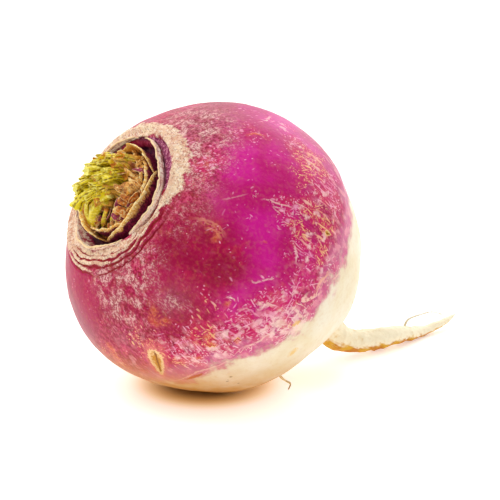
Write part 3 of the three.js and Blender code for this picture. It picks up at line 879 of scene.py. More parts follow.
colour = skin.mix(skin.rising(round_spot, 1.2, 0.3) * stain * 0.7, colour, paint(236, 190, 90))

sideways, fraction_along, off = skin.read_three("scratch")
taper = skin.rising(fraction_along, -0.05, 0.3) * skin.rising(fraction_along, 1.05, 0.7)
wander = abs(sideways + (skin.noise(1.6, 2) - 0.5) * 3.0)
line = skin.rising(wander, 1.2, 0.5) * taper * skin.rising(off, 6, 5)
line = line * skin.rising(skin.noise(0.9, 2), 0.32, 0.46)
rustiness, strength = skin.read_three("scratch_look")[:2]
line = line * strength
line_tint = skin.mix(rustiness, paint(248, 212, 202), paint(226, 122, 60))
colour = skin.mix(line * 0.9, colour, line_tint)
# Painted shade and painted warm bounced light: the belly turns golden brown towards the ground.
painted_belly_shade = skin.read("painted_belly_shade")
colour = skin.mix(painted_belly_shade * (mottle * 0.5 + 0.7), colour, paint(186, 128, 30))
print("nodes after marks, scratches and earth:", len(skin.tree.nodes))

# %% [markdown]
# The crown end comes last, because it lies over everything else: the corky band with its pits and
# cracks, the grooves of the shrunken skin, the crescent, the dark trench round the cup, its darkness
# partly painted shade, and the cup's floor. The taproot is plain cream, with rust in its rings, and
# its underside is painted darker gold as painted shade and warm light bounced up from the floor.

# %% Skin: the crown and the taproot
pits = skin.rising(skin.noise(0.5, 2), 0.56, 0.68)
crack = skin.rising(abs(skin.noise(2.2, 3) - 0.5), 0.03, 0.0)
corky = skin.rising(skin.read("cork_depth") + (speck - 0.5) * 2.4 + (grain - 0.5) * 1.2, -0.3, 0.5)
cork_tint = skin.mix(skin.rising(mottle, 0.35, 0.65), paint(240, 212, 178), paint(224, 180, 152))
cork_tint = skin.mix(skin.rising(grain + (speck - 0.5), 0.5, 0.66) * 0.8, cork_tint, paint(250, 234, 214))
cork_tint = skin.mix(pits * 0.55, cork_tint, paint(150, 96, 78))
cork_tint = skin.mix(crack * 0.6, cork_tint, paint(170, 60, 66))
colour = skin.mix(corky, colour, cork_tint)
colour = skin.mix(skin.rising(round_spot, 0.7, 0.2) * of_kind(DOT) * 0.8, colour, paint(112, 66, 24))
groove = skin.read("groove")
colour = skin.mix(skin.rising(groove + (speck - 0.5) * 0.5, 0.2, 0.7), colour, paint(150, 16, 40))
crescent_tint = skin.mix(skin.rising(speck + (grain - 0.5), 0.48, 0.64), paint(134, 40, 88),
                         paint(208, 132, 158))
colour = skin.mix(skin.rising(skin.read("crescent") + (speck - 0.5) * 0.5, 0.3, 0.6), colour,
                  crescent_tint)
# The trench's near-black purple is partly the skin's own purple and partly painted shade in the recess.
trench_tint = skin.mix(skin.rising(mottle, 0.4, 0.7), paint(66, 10, 44), paint(110, 22, 66))
colour = skin.mix(skin.rising(skin.read("trench") + (speck - 0.5) * 0.4, 0.3, 0.7), colour, trench_tint)
floor_tint = skin.mix(skin.rising(speck, 0.4, 0.65), paint(92, 40, 18), paint(186, 122, 58))
colour = skin.mix(skin.read("cup_floor"), colour, floor_tint)
taproot, under = skin.read("taproot"), skin.read("under")
ringed = skin.noise(1.1, 3)
rust = skin.rising(mottle + (ringed - 0.5) * 0.8, 0.6, 0.85) * taproot
colour = skin.mix(taproot * 0.85, colour, paint(252, 240, 210))
colour = skin.mix(rust * 0.35, colour, paint(226, 186, 110))
# Painted shade and painted warm bounced light: the taproot's underside turns darker gold.
painted_underside_shade = skin.mix(skin.rising(mottle, 0.4, 0.6), paint(196, 126, 34), paint(214, 164, 50))
colour = skin.mix(skin.rising(under + (ringed - 0.5) * 0.5, -0.05, 0.6), colour, painted_underside_shade)

rough = 0.42 + powder * 0.25 + corky * 0.35 + scrape * 0.1 + taproot * 0.15 + (mottle - 0.5) * 0.15
height = (grain - 0.5) * 0.03 + (speck - 0.5) * 0.06 + powder * 0.04 + scrape * 0.04 + line * 0.06
height = height + corky * ((grain - 0.5) * 0.25 - pits * 0.12) + taproot * (ringed - 0.5) * 0.25
skin.wear(colour, rough, height)
skin.put_on(root)

# %% [markdown]
# ## Leaf stalks
# The leaves were cut off, which left a bundle of short stalks that lean over one edge of the cup. A
# stalk is a ribbed tube from a foot on the crown to a cut end. The stalks stand on the CAD source's
# spiral, set a little higher in the cup, and the bundle bends over more. The ribs, knots and ragged
# ends are new, and so are the stunted stalks, which stayed short and dried.

# %% Placing the bundle
STALK_COUNT, STALK_SPACING = 16, 2.12
BUNDLE_OFFSET = [3.2, 1.8]
GOLDEN_ANGLE = np.pi * (3 - np.sqrt(5))
DROOP_RADIUS = 12.5
# number of the stalk, counted from 0: share of its length that it reached
STUNTED = {5: 0.75, 7: 0.7, 10: 0.5, 11: 0.75, 12: 0.75, 13: 0.6, 15: 0.55}


def fraction(number, salt):
    """A number's own fraction between 0 and 1, the same on every run."""
    value = np.sin(12.9898 * (number + 1) + 78.233 * salt) * STIRRING
    return value - np.floor(value)


def crown_height(radius):
    """How far out along the axis the crown's surface is, at a distance from the axis."""
    return np.interp(radius, *np.array(CROWN_PROFILE).T)


def droop(x, y, height):
    """Bends the bundle over: heights run along a circle that curves towards the lower side."""
    bend = np.maximum(height, 0) / DROOP_RADIUS
    return np.stack([x * np.cos(bend) - DROOP_RADIUS * (1 - np.cos(bend)), y + 0 * bend,
                     x * np.sin(bend) + DROOP_RADIUS * np.sin(bend) + np.minimum(height, 0)
                     + CROWN_HEIGHT], axis=-1)


def spiral(number):
    """Foot of a stalk: equal steps of the golden angle, with the distance growing as a root."""
    turn = number * GOLDEN_ANGLE
    out = STALK_SPACING * np.sqrt(number + 0.5)
    return BUNDLE_OFFSET[0] + out * np.cos(turn), BUNDLE_OFFSET[1] + out * np.sin(turn)


def full_length(x, y):
    """Lengths follow a bell over the bundle's middle."""
    return 5.0 + 10.8 * np.exp(-((x + 2.0) / 6.3) ** 2 - ((y - 1.6) / 6.0) ** 2)


def swayed(number, climb):
    """How far a stalk has wandered sideways: two sines that grow with its height."""
    return np.stack([0.8 * climb * np.sin(2.6 * climb + 6 * fraction(number, 4)),
                     0.8 * climb * np.sin(3.1 * climb + 6 * fraction(number, 6))])


feet = np.array([spiral(number) for number in range(STALK_COUNT)])
print("the stalks' feet in mm: from", feet.min(0).round(1), "to", feet.max(0).round(1))

# %% [markdown]
# Each stalk is a grid: rows climb it, and the last rows turn inwards and down to make the torn,
# slightly hollow cut end. It keeps a few numbers on its vertices for its finish: how far up each
# point is, how far over the cut end, how high it stands on a rib, and how dry the stalk is.

# %% Shaping a stalk
RIB_HEIGHT, STALK_SINK = 0.09, 0.6


def stalk_tube(name, number, foot, length, radius, dry):
    """A tube whose radius is multiplied by ribs (a cosine of four to six waves), joints (a slow cosine
    along it), knots and a knob near the top. Over the cut end the radius shrinks to nothing while the
    height dips."""
    x, y = foot
    start = crown_height(np.hypot(x, y)) - CROWN_HEIGHT - STALK_SINK
    rows, cap, columns = 46, 9, 28
    climb = np.concatenate([np.linspace(0, 1, rows), np.ones(cap)])[:, None]
    cut = np.concatenate([np.zeros(rows), np.linspace(0, 1, cap + 1)[1:]])[:, None]
    angle = np.linspace(0, 2 * np.pi, columns, endpoint=False)[None, :]
    around = np.stack([np.cos(angle) + 0 * climb, np.sin(angle) + 0 * climb,
                       climb * (length - start) / radius + 0 * angle], axis=-1)
    ribs = 1 + RIB_HEIGHT * np.cos((4 + number % 3) * angle + 3 * climb + number)
    joints = 0.09 * np.cos(climb * (length - start) * 1.7 + number)
    knots = 0.3 * layered(around * [0.8, 0.8, 1], 1.5, 40 + number)
    knob = 0.22 * step(climb, 0.82, 0.97) - 0.16 * step(climb, 0.5, 0.85)
    reach = radius * (ribs + joints + knots + knob) * np.sqrt(np.maximum(1 - cut**2.2, 0))
    slant = 1.6 * (fraction(number, 3) - 0.5) * climb * np.cos(angle) * (1 - cut)
    torn = 0.7 * layered(around, 0.6, 60 + number, 2) * step(climb, 0.88, 1) * (1 - cut)
    height = start + (length - start) * climb + slant + torn + 0.35 * np.sin(np.pi * cut) - 0.5 * cut
    sway, drift = swayed(number, climb)
    grid = droop(x + reach * np.cos(angle) + sway, y + reach * np.sin(angle) + drift, height)
    return grid_piece(name, from_crown_frame(grid),
                      {"climb": climb + 0 * angle, "cut": cut + 0 * angle,
                       "dry": dry + 0 * around[..., 0], "rib": (ribs - 1) / RIB_HEIGHT})


stalks = []
bundle = []  # the number, foot and length of each stalk and shoot
for number in range(STALK_COUNT):
    foot = spiral(number)
    length = (full_length(*foot) + 2.5 * (fraction(number, 1) - 0.5)) * STUNTED.get(number, 1)
    bundle.append((number, foot, length))
    stalks.append(stalk_tube(f"cut_stalk_{number + 1:02d}", number, foot, length,
                             1.4 + 0.45 * fraction(number, 2),
                             0.9 if number in STUNTED else 0.5 * fraction(number, 5)))
    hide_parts(f"leaf_stalk_{number + 1:02d}")
print(len(stalks), "stalks of", len(stalks[0].data.polygons), "faces")

# %% [markdown]
# Thinner shoots grew between the stalks and were cut with them. They fill the gaps, so the bundle
# reads as one clump and not as a bunch of pipes. They are numbered from 50, so that no shoot shares
# its fractions with a stalk.

# %% Young shoots
SHOOT_COUNT, SHOOT_SPACING, FIRST_SHOOT = 32, 1.05, 50
for number in range(SHOOT_COUNT):
    turn = number * GOLDEN_ANGLE + 0.9
    out = SHOOT_SPACING * np.sqrt(number + 1.5)
    foot = (BUNDLE_OFFSET[0] + 0.1 + out * np.cos(turn), BUNDLE_OFFSET[1] + 0.6 + out * np.sin(turn))
    length = full_length(*foot) * (0.7 + 0.3 * fraction(number, 31))
    bundle.append((FIRST_SHOOT + number, foot, length))
    stalks.append(stalk_tube(f"young_shoot_{number + 1:02d}", FIRST_SHOOT + number, foot, length,
                             0.7 + 0.5 * fraction(number, 32), 0.45 * fraction(number, 33)))
print("stalks and shoots:", len(stalks))

# %% [markdown]
# Fresh stalks are yellow-green and waxy, with pale yellow specks that are painted highlights. Where
# they dried they turn tan, in patches and most of all low down. Between the ribs lies olive-brown
# painted shade, and the feet are dark brown. A cut end is pale yellow on a fresh stalk and orange on a
# dry one.

# %% Stalk finish


def stalk_finish(name):
    """The finish of stalks, young leaves and stubs: yellow-green with painted highlight specks, dry
    patches, painted olive-brown shade between the ribs, brown feet and pale or orange cut ends."""
    green_skin = Finish(name, IOR=1.45, Specular_IOR_Level=0.5)
    grain = green_skin.noise(0.35, 2)
    speck = green_skin.noise(0.9, 2)
    patch = green_skin.noise(2.6, 2)
    mix, rising = green_skin.mix, green_skin.rising
    climb, cut, dry = (green_skin.read(key) for key in ("climb", "cut", "dry"))
    green = mix(rising(patch, 0.35, 0.65), paint(200, 176, 4), paint(240, 220, 34))
    # Painted highlights: pale yellow specks on the green.
    green = mix(rising(speck, 0.5, 0.64) * 0.8, green, paint(250, 240, 116))
    drying = rising((speck - 0.5) * 1.1 + (patch - 0.5) * 1.5 + dry * 0.75 - climb * 0.25, 0.2, 0.55)
    tan_tint = mix(rising(grain, 0.4, 0.6), paint(222, 158, 62), paint(176, 102, 28))
    colour = mix(drying * 0.85, green, tan_tint)
    # Painted shade: olive-brown between the ribs.
    hollow = rising(green_skin.read("rib") * 0.3 + (speck - 0.5) * 0.6, -0.08, -0.3)
    colour = mix(hollow * 0.9, colour, paint(118, 80, 2))
    colour = mix(rising(climb, 0.3, 0.05) * 0.8, colour, paint(112, 66, 24))
    end_tint = mix(rising(dry + (speck - 0.5), 0.3, 0.6), paint(238, 230, 120), paint(216, 138, 40))
    colour = mix(rising(cut + (grain - 0.5) * 0.8, 0.05, 0.45), colour, end_tint)
    green_skin.wear(colour, 0.36 + drying * 0.3 + cut * 0.1, (grain - 0.5) * 0.05 + (speck - 0.5) * 0.2)
    return green_skin


stalk_finish("leaf_stalk").put_on(*stalks)

# %% [markdown]
# ## Leaf bases
# Round the bundle stands a cup made of the bases of older leaves. Each is a curved wall, fleshy
# outside and papery inside, with a rim torn to an uneven height. A wall is one closed section swept
# round part of the cup: the section's height follows a cosine and its thickness a sine, both squared
# off, so that the rim has a flat cut top.

# %% Shaping a wall
WALL_FLARE = 0.06


def squared(wave, power=0.6):
    """A wave with flatter tops and steeper sides: a root of its size, with its sign kept."""
    return np.sign(wave) * np.abs(wave) ** power


def wall(name, node, radius, first, last, top, thickness, tear, seed):
    """A section swept from the first angle to the last, in degrees. Its half height shrinks to the
    ends as a root of a sine, its rim is torn by noise, and it ripples and curls more towards the rim."""
    rows_per_degree, columns = 1.3, 40
    rows = int(rows_per_degree * (last - first))
    share = np.linspace(0, 1, rows)[:, None]
    section = np.linspace(0, 2 * np.pi, columns, endpoint=False)[None, :]
    angle = np.radians(first + (last - first) * share)
    run = np.stack([radius * np.cos(angle), radius * np.sin(angle), 0 * angle], axis=-1)
    fullness = np.sin(np.pi * share) ** 0.35
    fullness[[0, -1]] = 0
    foot = crown_height(radius) - 0.5
    notches = step(unevenness(run, 2.2, seed + 7), 0.3, 0.6)
    rim = (top - foot + tear * layered(run, 4.5, seed) + 0.5 * tear * unevenness(run, 0.9, seed + 5)
           - tear * notches)
    half = np.maximum(rim, 0.6) / 2 * fullness
    above = half * (1 + squared(np.cos(section)))
    up = above / np.maximum(2 * half, 0.01)
    body = np.stack([*np.moveaxis(run + 0 * above[..., None], -1, 0)[:2], above], axis=-1)
    thick = thickness / 2 * fullness * (1 - 0.3 * up) * squared(np.sin(section))
    thick = thick * (1 + 0.35 * layered(body, 1.4, seed + 11))
    ripple = 0.35 * up * layered(body * [1, 1, 0.4], 2.6, seed + 3)
    curl = 0.7 * tear * up**3 * unevenness(run, 5, seed + 9)
    out = (radius + thick + ripple + curl) * crown_stretch(radius, angle) + WALL_FLARE * above
    grid = np.stack([out * np.cos(angle), out * np.sin(angle), foot + above], axis=-1)
    maps = {"up": up, "outside": np.sin(section) + 0 * up,
            "fibre": np.stack([radius * angle + 0 * up, above, 0 * up], axis=-1)}
    piece = grid_piece(name, from_crown_frame(grid), maps)
    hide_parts(node)
    return piece


# %% [markdown]
# Two of the outer three walls are thick. The others get thinner and more torn further in. Three low,
# pale, ragged strips stand round the outer side of the trench, where the skin itself tore away.

# %% The cup's walls and the torn rim
# name: radius from the axis, first and last degree, top, thickness, tear
LEAF_BASES = {"outer_leaf_base_1": (13.9, -162, -34, 39.3, 1.2, 0.25),
              "outer_leaf_base_2": (13.3, -46, 82, 39.9, 0.8, 1.0),
              "outer_leaf_base_3": (13.5, 90, 192, 39.2, 1.2, 0.5),
              "middle_leaf_base_1": (12.0, -208, -108, 38.7, 0.9, 0.8),
              "middle_leaf_base_2": (12.0, -98, 8, 38.2, 0.8, 1.0),
              "middle_leaf_base_3": (12.0, 18, 142, 40.2, 0.9, 0.8),
              "inner_leaf_base_1": (10.4, -150, -92, 37.6, 0.7, 1.1),
              "inner_leaf_base_2": (10.4, -70, -10, 38.8, 0.7, 1.3)}
TORN_RIMS = {"torn_rim_1": (17.4, -118, 12, 38.9, 1.0, 0.5),
             "torn_rim_2": (17.4, -214, -126, 38.6, 1.0, 0.5),
             "torn_rim_3": (17.4, 22, 136, 38.4, 1.0, 0.5)}
leaf_bases = [wall(name.replace("leaf_base", "leaf_wall"), name, *shape, 100 + 20 * k)
              for k, (name, shape) in enumerate(LEAF_BASES.items())]
torn_rims = [wall(name.replace("torn_rim", "torn_skin"), name, *shape, 300 + 20 * k)
             for k, (name, shape) in enumerate(TORN_RIMS.items())]
print("walls:", len(leaf_bases) + len(torn_rims))

# %% [markdown]
# A leaf base is dark purple flesh on its outer side, the darkness partly painted shade, and dry
# yellow-brown paper on its inner side and along its rim. Its fibres stand upright, so their noise is
# read from coordinates kept on the wall itself: millimetres round the cup, and millimetres up.
# Shrinking one of these draws the noise out.

# %% Leaf base finish


def along_fibres(finish, size, shrink):
    """Noise on the wall's own coordinates, drawn out in the direction that the shrink makes smaller."""
    fibre = finish.add("ShaderNodeAttribute", attribute_name="fibre")
    shrunk = finish.add("ShaderNodeVectorMath", {0: fibre.outputs["Vector"], 1: shrink},
                        operation="MULTIPLY")
    return finish.noise(size, 3, Quantity(finish, shrunk.outputs[0]))


def leaf_base_finish():
    """Flesh outside, paper inside and on the upper edge, and a pale rim."""
    base = Finish("dry_leaf_base", IOR=1.45)
    grain = base.noise(0.35, 2)
    speck = base.noise(0.9, 3)
    patch = base.noise(3.2, 2)
    up, outside = base.read("up"), base.read("outside")
    threads = along_fibres(base, 0.5, (1, 0.16, 1))
    mix, rising = base.mix, base.rising
    paper = mix(rising(threads, 0.38, 0.62), paint(204, 122, 36), paint(248, 196, 108))
    paper = mix(rising(patch, 0.5, 0.7) * 0.7, paper, paint(212, 108, 34))
    paper = mix(rising(speck, 0.58, 0.7) * 0.7, paper, paint(246, 224, 180))
    paper = mix(rising(up, 0.45, 0.1) * 0.8, paper, paint(110, 44, 26))
    # The deep purple outside is partly the flesh's own purple and partly painted shade.
    fleshy = mix(rising(speck, 0.4, 0.65), paint(84, 8, 40), paint(140, 34, 70))
    dried = mix(rising(threads, 0.4, 0.6), paint(206, 136, 44), paint(240, 192, 104))
    fleshy = mix(rising(up + (patch - 0.5) * 0.7 + (grain - 0.5) * 0.4, 0.7, 0.9), fleshy, dried)
    colour = mix(rising(outside, -0.1, 0.25), paper, fleshy)
    rim_tint = mix(rising(speck + (grain - 0.5), 0.4, 0.62), paint(236, 180, 76), paint(252, 230, 170))
    colour = mix(rising(up + (grain - 0.5) * 0.25, 0.8, 0.93), colour, rim_tint)
    rough = rising(outside, -0.2, 0.3) * -0.22 + 0.66
    base.wear(colour, rough, (grain - 0.5) * 0.1 + (threads - 0.5) * 0.15)
    return base


leaf_base_finish().put_on(*leaf_bases)

# %% [markdown]
# The torn skin is nearly white, with crumbs of red, and it tore in layers that lie round the crown.
# So its noise is drawn out round the cup and not upwards.

# %% Torn rim finish


def torn_rim_finish():
    """Pale layers with dark red gaps, dark at the foot and straw-coloured along the top."""
    torn = Finish("torn_skin", IOR=1.45)
    grain = torn.noise(0.3, 2)
    speck = torn.noise(0.8, 3)
    patch = torn.noise(4, 2)
    up = torn.read("up")
    layers = along_fibres(torn, 0.55, (0.12, 1, 1))
    mix, rising = torn.mix, torn.rising
    pale = mix(rising(patch, 0.4, 0.65), paint(250, 234, 212), paint(236, 186, 168))
    pale = mix(rising(speck, 0.48, 0.66) * 0.7, pale, paint(255, 250, 236))
    pale = mix(rising(speck + (grain - 0.5) * 0.6, 0.42, 0.32) * 0.8, pale, paint(164, 62, 58))
    pale = mix(rising(layers, 0.54, 0.62) * 0.75, pale, paint(158, 50, 52))
    pale = mix(rising(layers, 0.44, 0.36) * 0.6, pale, paint(255, 246, 226))
    colour = mix(rising(up + (speck - 0.5) * 0.5, 0.45, 0.15) * 0.85, pale, paint(112, 26, 50))
    colour = mix(rising(up + (grain - 0.5) * 0.3, 0.8, 0.95), colour, paint(240, 208, 160))
    torn.wear(colour, (speck - 0.5) * 0.3 + 0.7, (layers - 0.5) * -0.5 + (speck - 0.5) * 0.2)
    return torn


torn_rim_finish().put_on(*torn_rims)

# %% [markdown]
# ## Sheaths, flakes and young leaves
# The cup is crowded with curled bits of leaf. All of them are the same shape at different sizes: a
# small curved sheet with a flat section, narrower at its ends and crumpled by noise. It is made lying
# along x, then turned, and then put in its place.

# %% A curled sheet
SHEET_ROWS, SHEET_COLUMNS, SHEET_HALF_THICKNESS = 18, 16, 0.15


def curled_sheet(number, length, half_width, curl):
    """A closed thin sheet along x. Its width follows a root of a sine along its length, its section is
    a flat loop bent up by the square of the distance from its middle, and noise crumples it."""
    share = np.linspace(0, 1, SHEET_ROWS)[:, None]
    section = np.linspace(0, 2 * np.pi, SHEET_COLUMNS, endpoint=False)[None, :]
    width = half_width * np.sin(np.pi * share) ** 0.4
    width[[0, -1]] = 0
    across = width * squared(np.cos(section), 0.8)
    thick = SHEET_HALF_THICKNESS * squared(np.sin(section), 0.8) * np.minimum(width, 1)
    lift = 0.42 * curl * across**2 + thick + 0.45 * length * curl * (share - 0.5) ** 2
    shape = np.stack([length * (share - 0.5) + 0 * across, across, lift], axis=-1)
    crumple = np.stack([unevenness(shape * [1, 1, 0], 0.9, 500 + 3 * number + k) for k in range(3)],
                       axis=-1)
    return shape + 0.24 * np.minimum(width, 1)[..., None] * crumple


def turned(shape, roll, tilt, heading):
    """The shape turned about x, then y, then z, in radians."""
    for a, b, turn in ((1, 2, roll), (0, 2, tilt), (0, 1, heading)):
        rotated = shape[..., [a, b]] @ np.array([[np.cos(turn), np.sin(turn)],
                                                 [-np.sin(turn), np.cos(turn)]])
        shape[..., a], shape[..., b] = rotated[..., 0], rotated[..., 1]
    return shape


print("a curled sheet of 4 x 2 mm stands", np.ptp(curled_sheet(0, 4, 1, 0.5)[..., 2]).round(1), "mm high")

# %% [markdown]
# Small dry flakes lie all over the cup, turned any way. Sheaths stand upright between the bundle and
# the walls, on the near and the upper side, and taller, narrower ones stand closer to the stalks.
# Each takes its size, turn and place from its own fractions.

# %% Sheaths and flakes
FLAKE_COUNT, SHEATH_COUNT, TALL_COUNT = 60, 26, 16
FIRST_SHEATH, FIRST_TALL = 60, 200
SHEET_RIM = (np.abs(np.cos(np.linspace(0, 2 * np.pi, SHEET_COLUMNS, endpoint=False))) ** 4
             * np.ones((SHEET_ROWS, 1)))


def set_in_cup(name, number, sheet, out, angle, above, pale):
    """A sheet put at a distance from the axis, an angle round it and a height above the crown."""
    place = [out * np.cos(angle), out * np.sin(angle), crown_height(out) + above]
    piece = grid_piece(f"{name}_{number + 1:02d}", from_crown_frame(sheet + place),
                       {"pale": pale + 0 * SHEET_RIM, "rim": SHEET_RIM})
    return piece


flakes = []
for number in range(FLAKE_COUNT):
    sheet = curled_sheet(number, 2.0 + 2.4 * fraction(number, 11), 0.5 + 0.8 * fraction(number, 12),
                         0.3 + 0.9 * fraction(number, 13))
    sheet = turned(sheet, 2 * np.pi * fraction(number, 16), 1.6 * (fraction(number, 15) - 0.35),
                   2 * np.pi * fraction(number, 14))
    out, angle = 5 + 7 * np.sqrt(fraction(number, 17)), np.radians(-205 + 250 * fraction(number, 18))
    flakes.append(set_in_cup("dry_flake", number, sheet, out, angle, 0.4 + 2.6 * fraction(number, 19),
                             fraction(number, 20)))
for number in range(SHEATH_COUNT):
    key = FIRST_SHEATH + number
    length = 4.2 + 3.6 * fraction(key, 11)
    sheet = curled_sheet(key, length, 1.2 + 1.2 * fraction(key, 12), 0.5 + 0.5 * fraction(key, 13))
    sheet = turned(sheet, 0.6 * (fraction(key, 16) - 0.5), np.pi / 2 + 0.8 * (fraction(key, 15) - 0.4), 0)
    angle = np.radians(-125 + 170 * (number + 0.6 * fraction(key, 18)) / SHEATH_COUNT)
    out = 8.2 + 3.6 * fraction(key, 17)
    sheet = turned(sheet, 0, 0, angle + 0.9 * (fraction(key, 14) - 0.5))
    flakes.append(set_in_cup("dry_sheath", number, sheet, out, angle, 0.35 * length, fraction(key, 20)))
for number in range(TALL_COUNT):
    key = FIRST_TALL + number
    angle = np.radians(-96 + 124 * (number + 0.5 * fraction(key, 11)) / TALL_COUNT)
    out, length = 7.4 + 2.8 * fraction(key, 12), 5.2 + 3.0 * fraction(key, 13)
    sheet = curled_sheet(key, length, 0.8 + 0.7 * fraction(key, 14), 0.5 + 0.5 * fraction(key, 15))
    sheet = turned(sheet, 1.2 * (fraction(key, 16) - 0.5), np.pi / 2 + 0.2 + 0.6 * fraction(key, 17),
                   angle + 2.4 * (fraction(key, 18) - 0.5))
    flakes.append(set_in_cup("tall_sheath", number, sheet, out, angle, 0.5 * length,
                             0.8 * fraction(key, 19)))
print("flakes and sheaths:", len(flakes))

# %% [markdown]
# Dry leaf is orange-brown to straw-coloured, and a few scraps kept the purple of the skin. All have
# dark specks, dark and cream patches, and a pale edge. The dark patches are partly painted shade in
# the crevices, and the cream ones partly painted highlights.

# %% Flake finish


def flake_finish():
    """Brown to straw by the sheet's own paleness, purple on the palest, then specks, patches, edge."""
    scrap = Finish("dry_flake", IOR=1.45)
    speck = scrap.noise(0.5, 3)
    patch = scrap.noise(1.6, 2)
    pale = scrap.read("pale")
    mix, rising = scrap.mix, scrap.rising
    tint = mix(rising(pale + (patch - 0.5), 0.1, 0.75), paint(206, 116, 28), paint(240, 184, 92))
    tint = mix(rising(pale, 0.86, 0.9), tint, paint(160, 48, 92))
    tint = mix(rising(speck, 0.48, 0.62) * 0.8, tint, paint(120, 52, 14))
    # Dark patches: partly painted shade in the crevices.
    tint = mix(rising(patch + (speck - 0.5) * 0.3, 0.46, 0.36) * 0.6, tint, paint(112, 42, 26))
    # Cream patches: partly painted highlights.
    tint = mix(rising(patch + (speck - 0.5) * 0.5, 0.54, 0.7) * 0.8, tint, paint(255, 228, 160))
    edge = rising(scrap.read("rim") + (speck - 0.5) * 0.6, 0.5, 0.95)
    tint = mix(edge * 0.8, tint, paint(255, 222, 148))
    scrap.wear(tint, speck * 0.3 + 0.5, (speck - 0.5) * 0.3)
    return scrap


flake_finish().put_on(*flakes)

# %% [markdown]
# The buds and torn leaflets on the stalks are the same sheet in the stalks' finish. Each grows out
# of the middle of a stalk or shoot, part of the way up, and is bent over with the bundle.

# %% Young leaves
LEAF_COUNT, FIRST_LEAF = 54, 100
leaves = []
for number in range(LEAF_COUNT):
    key = FIRST_LEAF + number
    sheet = curled_sheet(key, 1.2 + 1.8 * fraction(key, 11), 0.35 + 0.5 * fraction(key, 12),
                         1.0 + 1.4 * fraction(key, 13))
    sheet = turned(sheet, 2 * np.pi * fraction(key, 16), 1.2 + 0.8 * (fraction(key, 15) - 0.5),
                   2 * np.pi * fraction(key, 14))
    grown_from, (x, y), length = bundle[(5 * number) % len(bundle)]
    climb, beside = 0.55 + 0.4 * fraction(key, 18), 2 * np.pi * fraction(key, 17)
    sway, drift = swayed(grown_from, climb)
    place = np.array([x + sway + 0.7 * np.cos(beside), y + drift + 0.7 * np.sin(beside), length * climb])
    grid = droop(*np.moveaxis(sheet + place, -1, 0))
    ones = 0 * grid[..., 0] + 1
    leaves.append(grid_piece(f"young_leaf_{number + 1:02d}", from_crown_frame(grid),
                             {"climb": ones, "cut": 0 * ones, "rib": 0 * ones,
                              "dry": 0.6 * fraction(key, 19) ** 2 * ones}))
stalk_finish("young_leaf").put_on(*leaves)
print("young leaves:", len(leaves))

# %% [markdown]
# ## Stubs and side roots
# Some things are a tube along a smooth curve: the stubs of older stalks, which lie in the lower side of
# the cup, and the thin side roots. One helper makes them all. It carries a ring along the curve, and
# two directions square to the curve keep the ring upright.

# %% A tube along a curve


def tube(name, stops, radius, taper, seed, columns=14, uneven=0.3, dry=0.0):
    """A tube round a smooth curve. Two directions square to the curve carry each ring, and the radius
    falls by the taper from end to end, is pinched by noise and follows four low ribs."""
    points_per_span = 26
    middle = curve_through(stops, points_per_span)
    heading = np.gradient(middle, axis=0)
    heading /= np.linalg.norm(heading, axis=1, keepdims=True)
    side = np.cross(heading, UPPER)
    side /= np.linalg.norm(side, axis=1, keepdims=True)
    other = np.cross(heading, side)
    share = np.linspace(0, 1, len(middle))[:, None]
    angle = np.linspace(0, 2 * np.pi, columns, endpoint=False)[None, :]
    pinch = 1 + uneven * layered(middle, 1.6, seed)[:, None]
    reach = radius * pinch * (1 - taper * share) * (1 + 0.4 * uneven * np.cos(4 * angle + 2 * share))
    reach[[0, -1]] = 0
    grid = (middle[:, None] + (reach * np.cos(angle))[..., None] * side[:, None]
            + (reach * np.sin(angle))[..., None] * other[:, None])
    return grid_piece(name, grid, {"share": share + 0 * angle, "climb": 0.5 + 0.5 * share + 0 * angle,
                                   "cut": step(share, 0.9, 1) + 0 * angle, "rib": 0 * share * angle,
                                   "dry": dry + 0 * share * angle})


# %% [markdown]
# The longest stub is one thick, pale stalk that crosses the lower side of the cup under the bundle.
# Two thin green ones stand on its far side, and two dry ones on its near side. All of them wear the
# stalks' finish.

# %% Stubs
# stops in the crown's frame, radius, taper, how dry
STUBS = [([[-10.9, 3.5, 35.3], [-9.2, 3.0, 38.2], [-6.6, 1.4, 40.2], [-3.2, -1.2, 41.4], [-0.8, -3.6, 41.4]],
          1.8, 0.15, 0.25),
         ([[-10.9, 7.2, 35.2], [-9.4, 7.4, 37.8], [-6.6, 6.8, 40.2]], 0.7, 0.3, 0.0),
         ([[-11.7, 5.4, 35.2], [-10.2, 5.6, 38.0], [-7.4, 5.0, 41.0], [-4.4, 3.4, 42.8]], 0.9, 0.3, 0.0),
         ([[-10.4, -0.8, 35.2], [-8.6, -1.8, 37.6], [-5.4, -3.2, 39.6]], 0.9, 0.3, 0.7),
         ([[-9.0, -4.6, 35.2], [-7.4, -5.4, 37.4], [-4.2, -6.2, 39.0]], 0.8, 0.3, 0.8)]
stubs = [tube(f"pale_stub_{k + 1}", from_crown_frame(np.array(stops)), radius, taper,
              seed=740 + 9 * k, columns=28, uneven=0.2, dry=dry)
         for k, (stops, radius, taper, dry) in enumerate(STUBS)]
stalk_finish("pale_stub").put_on(*stubs)
print("stubs:", len(stubs))

# %% [markdown]
# Two thin roots leave the main one: a long curled one near the tip and a short broken one under the
# bulb. Each is a tube like the stubs, and it starts inside the root it grew from.

# %% Side roots
LONG_ROOT = [[65.2, 2.0, 3.5], [65.9, 2.2, 5.2], [67.2, 2.8, 6.1], [71.6, 3.6, 6.6], [76.2, 4.4, 6.4],
             [80.2, 5.2, 4.7]]
SHORT_ROOT = [[10.6, -19.4, 8.4], [11.4, -20.7, 6.3], [13.3, -20.4, 4.5], [15.2, -19.8, 2.9],
              [14.6, -19.6, 1.2]]
side_roots = {"long_side_root": tube("long_side_root", LONG_ROOT, 0.34, 0.5, 700),
              "short_side_root": tube("short_side_root", SHORT_ROOT, 0.42, 0.6, 720)}


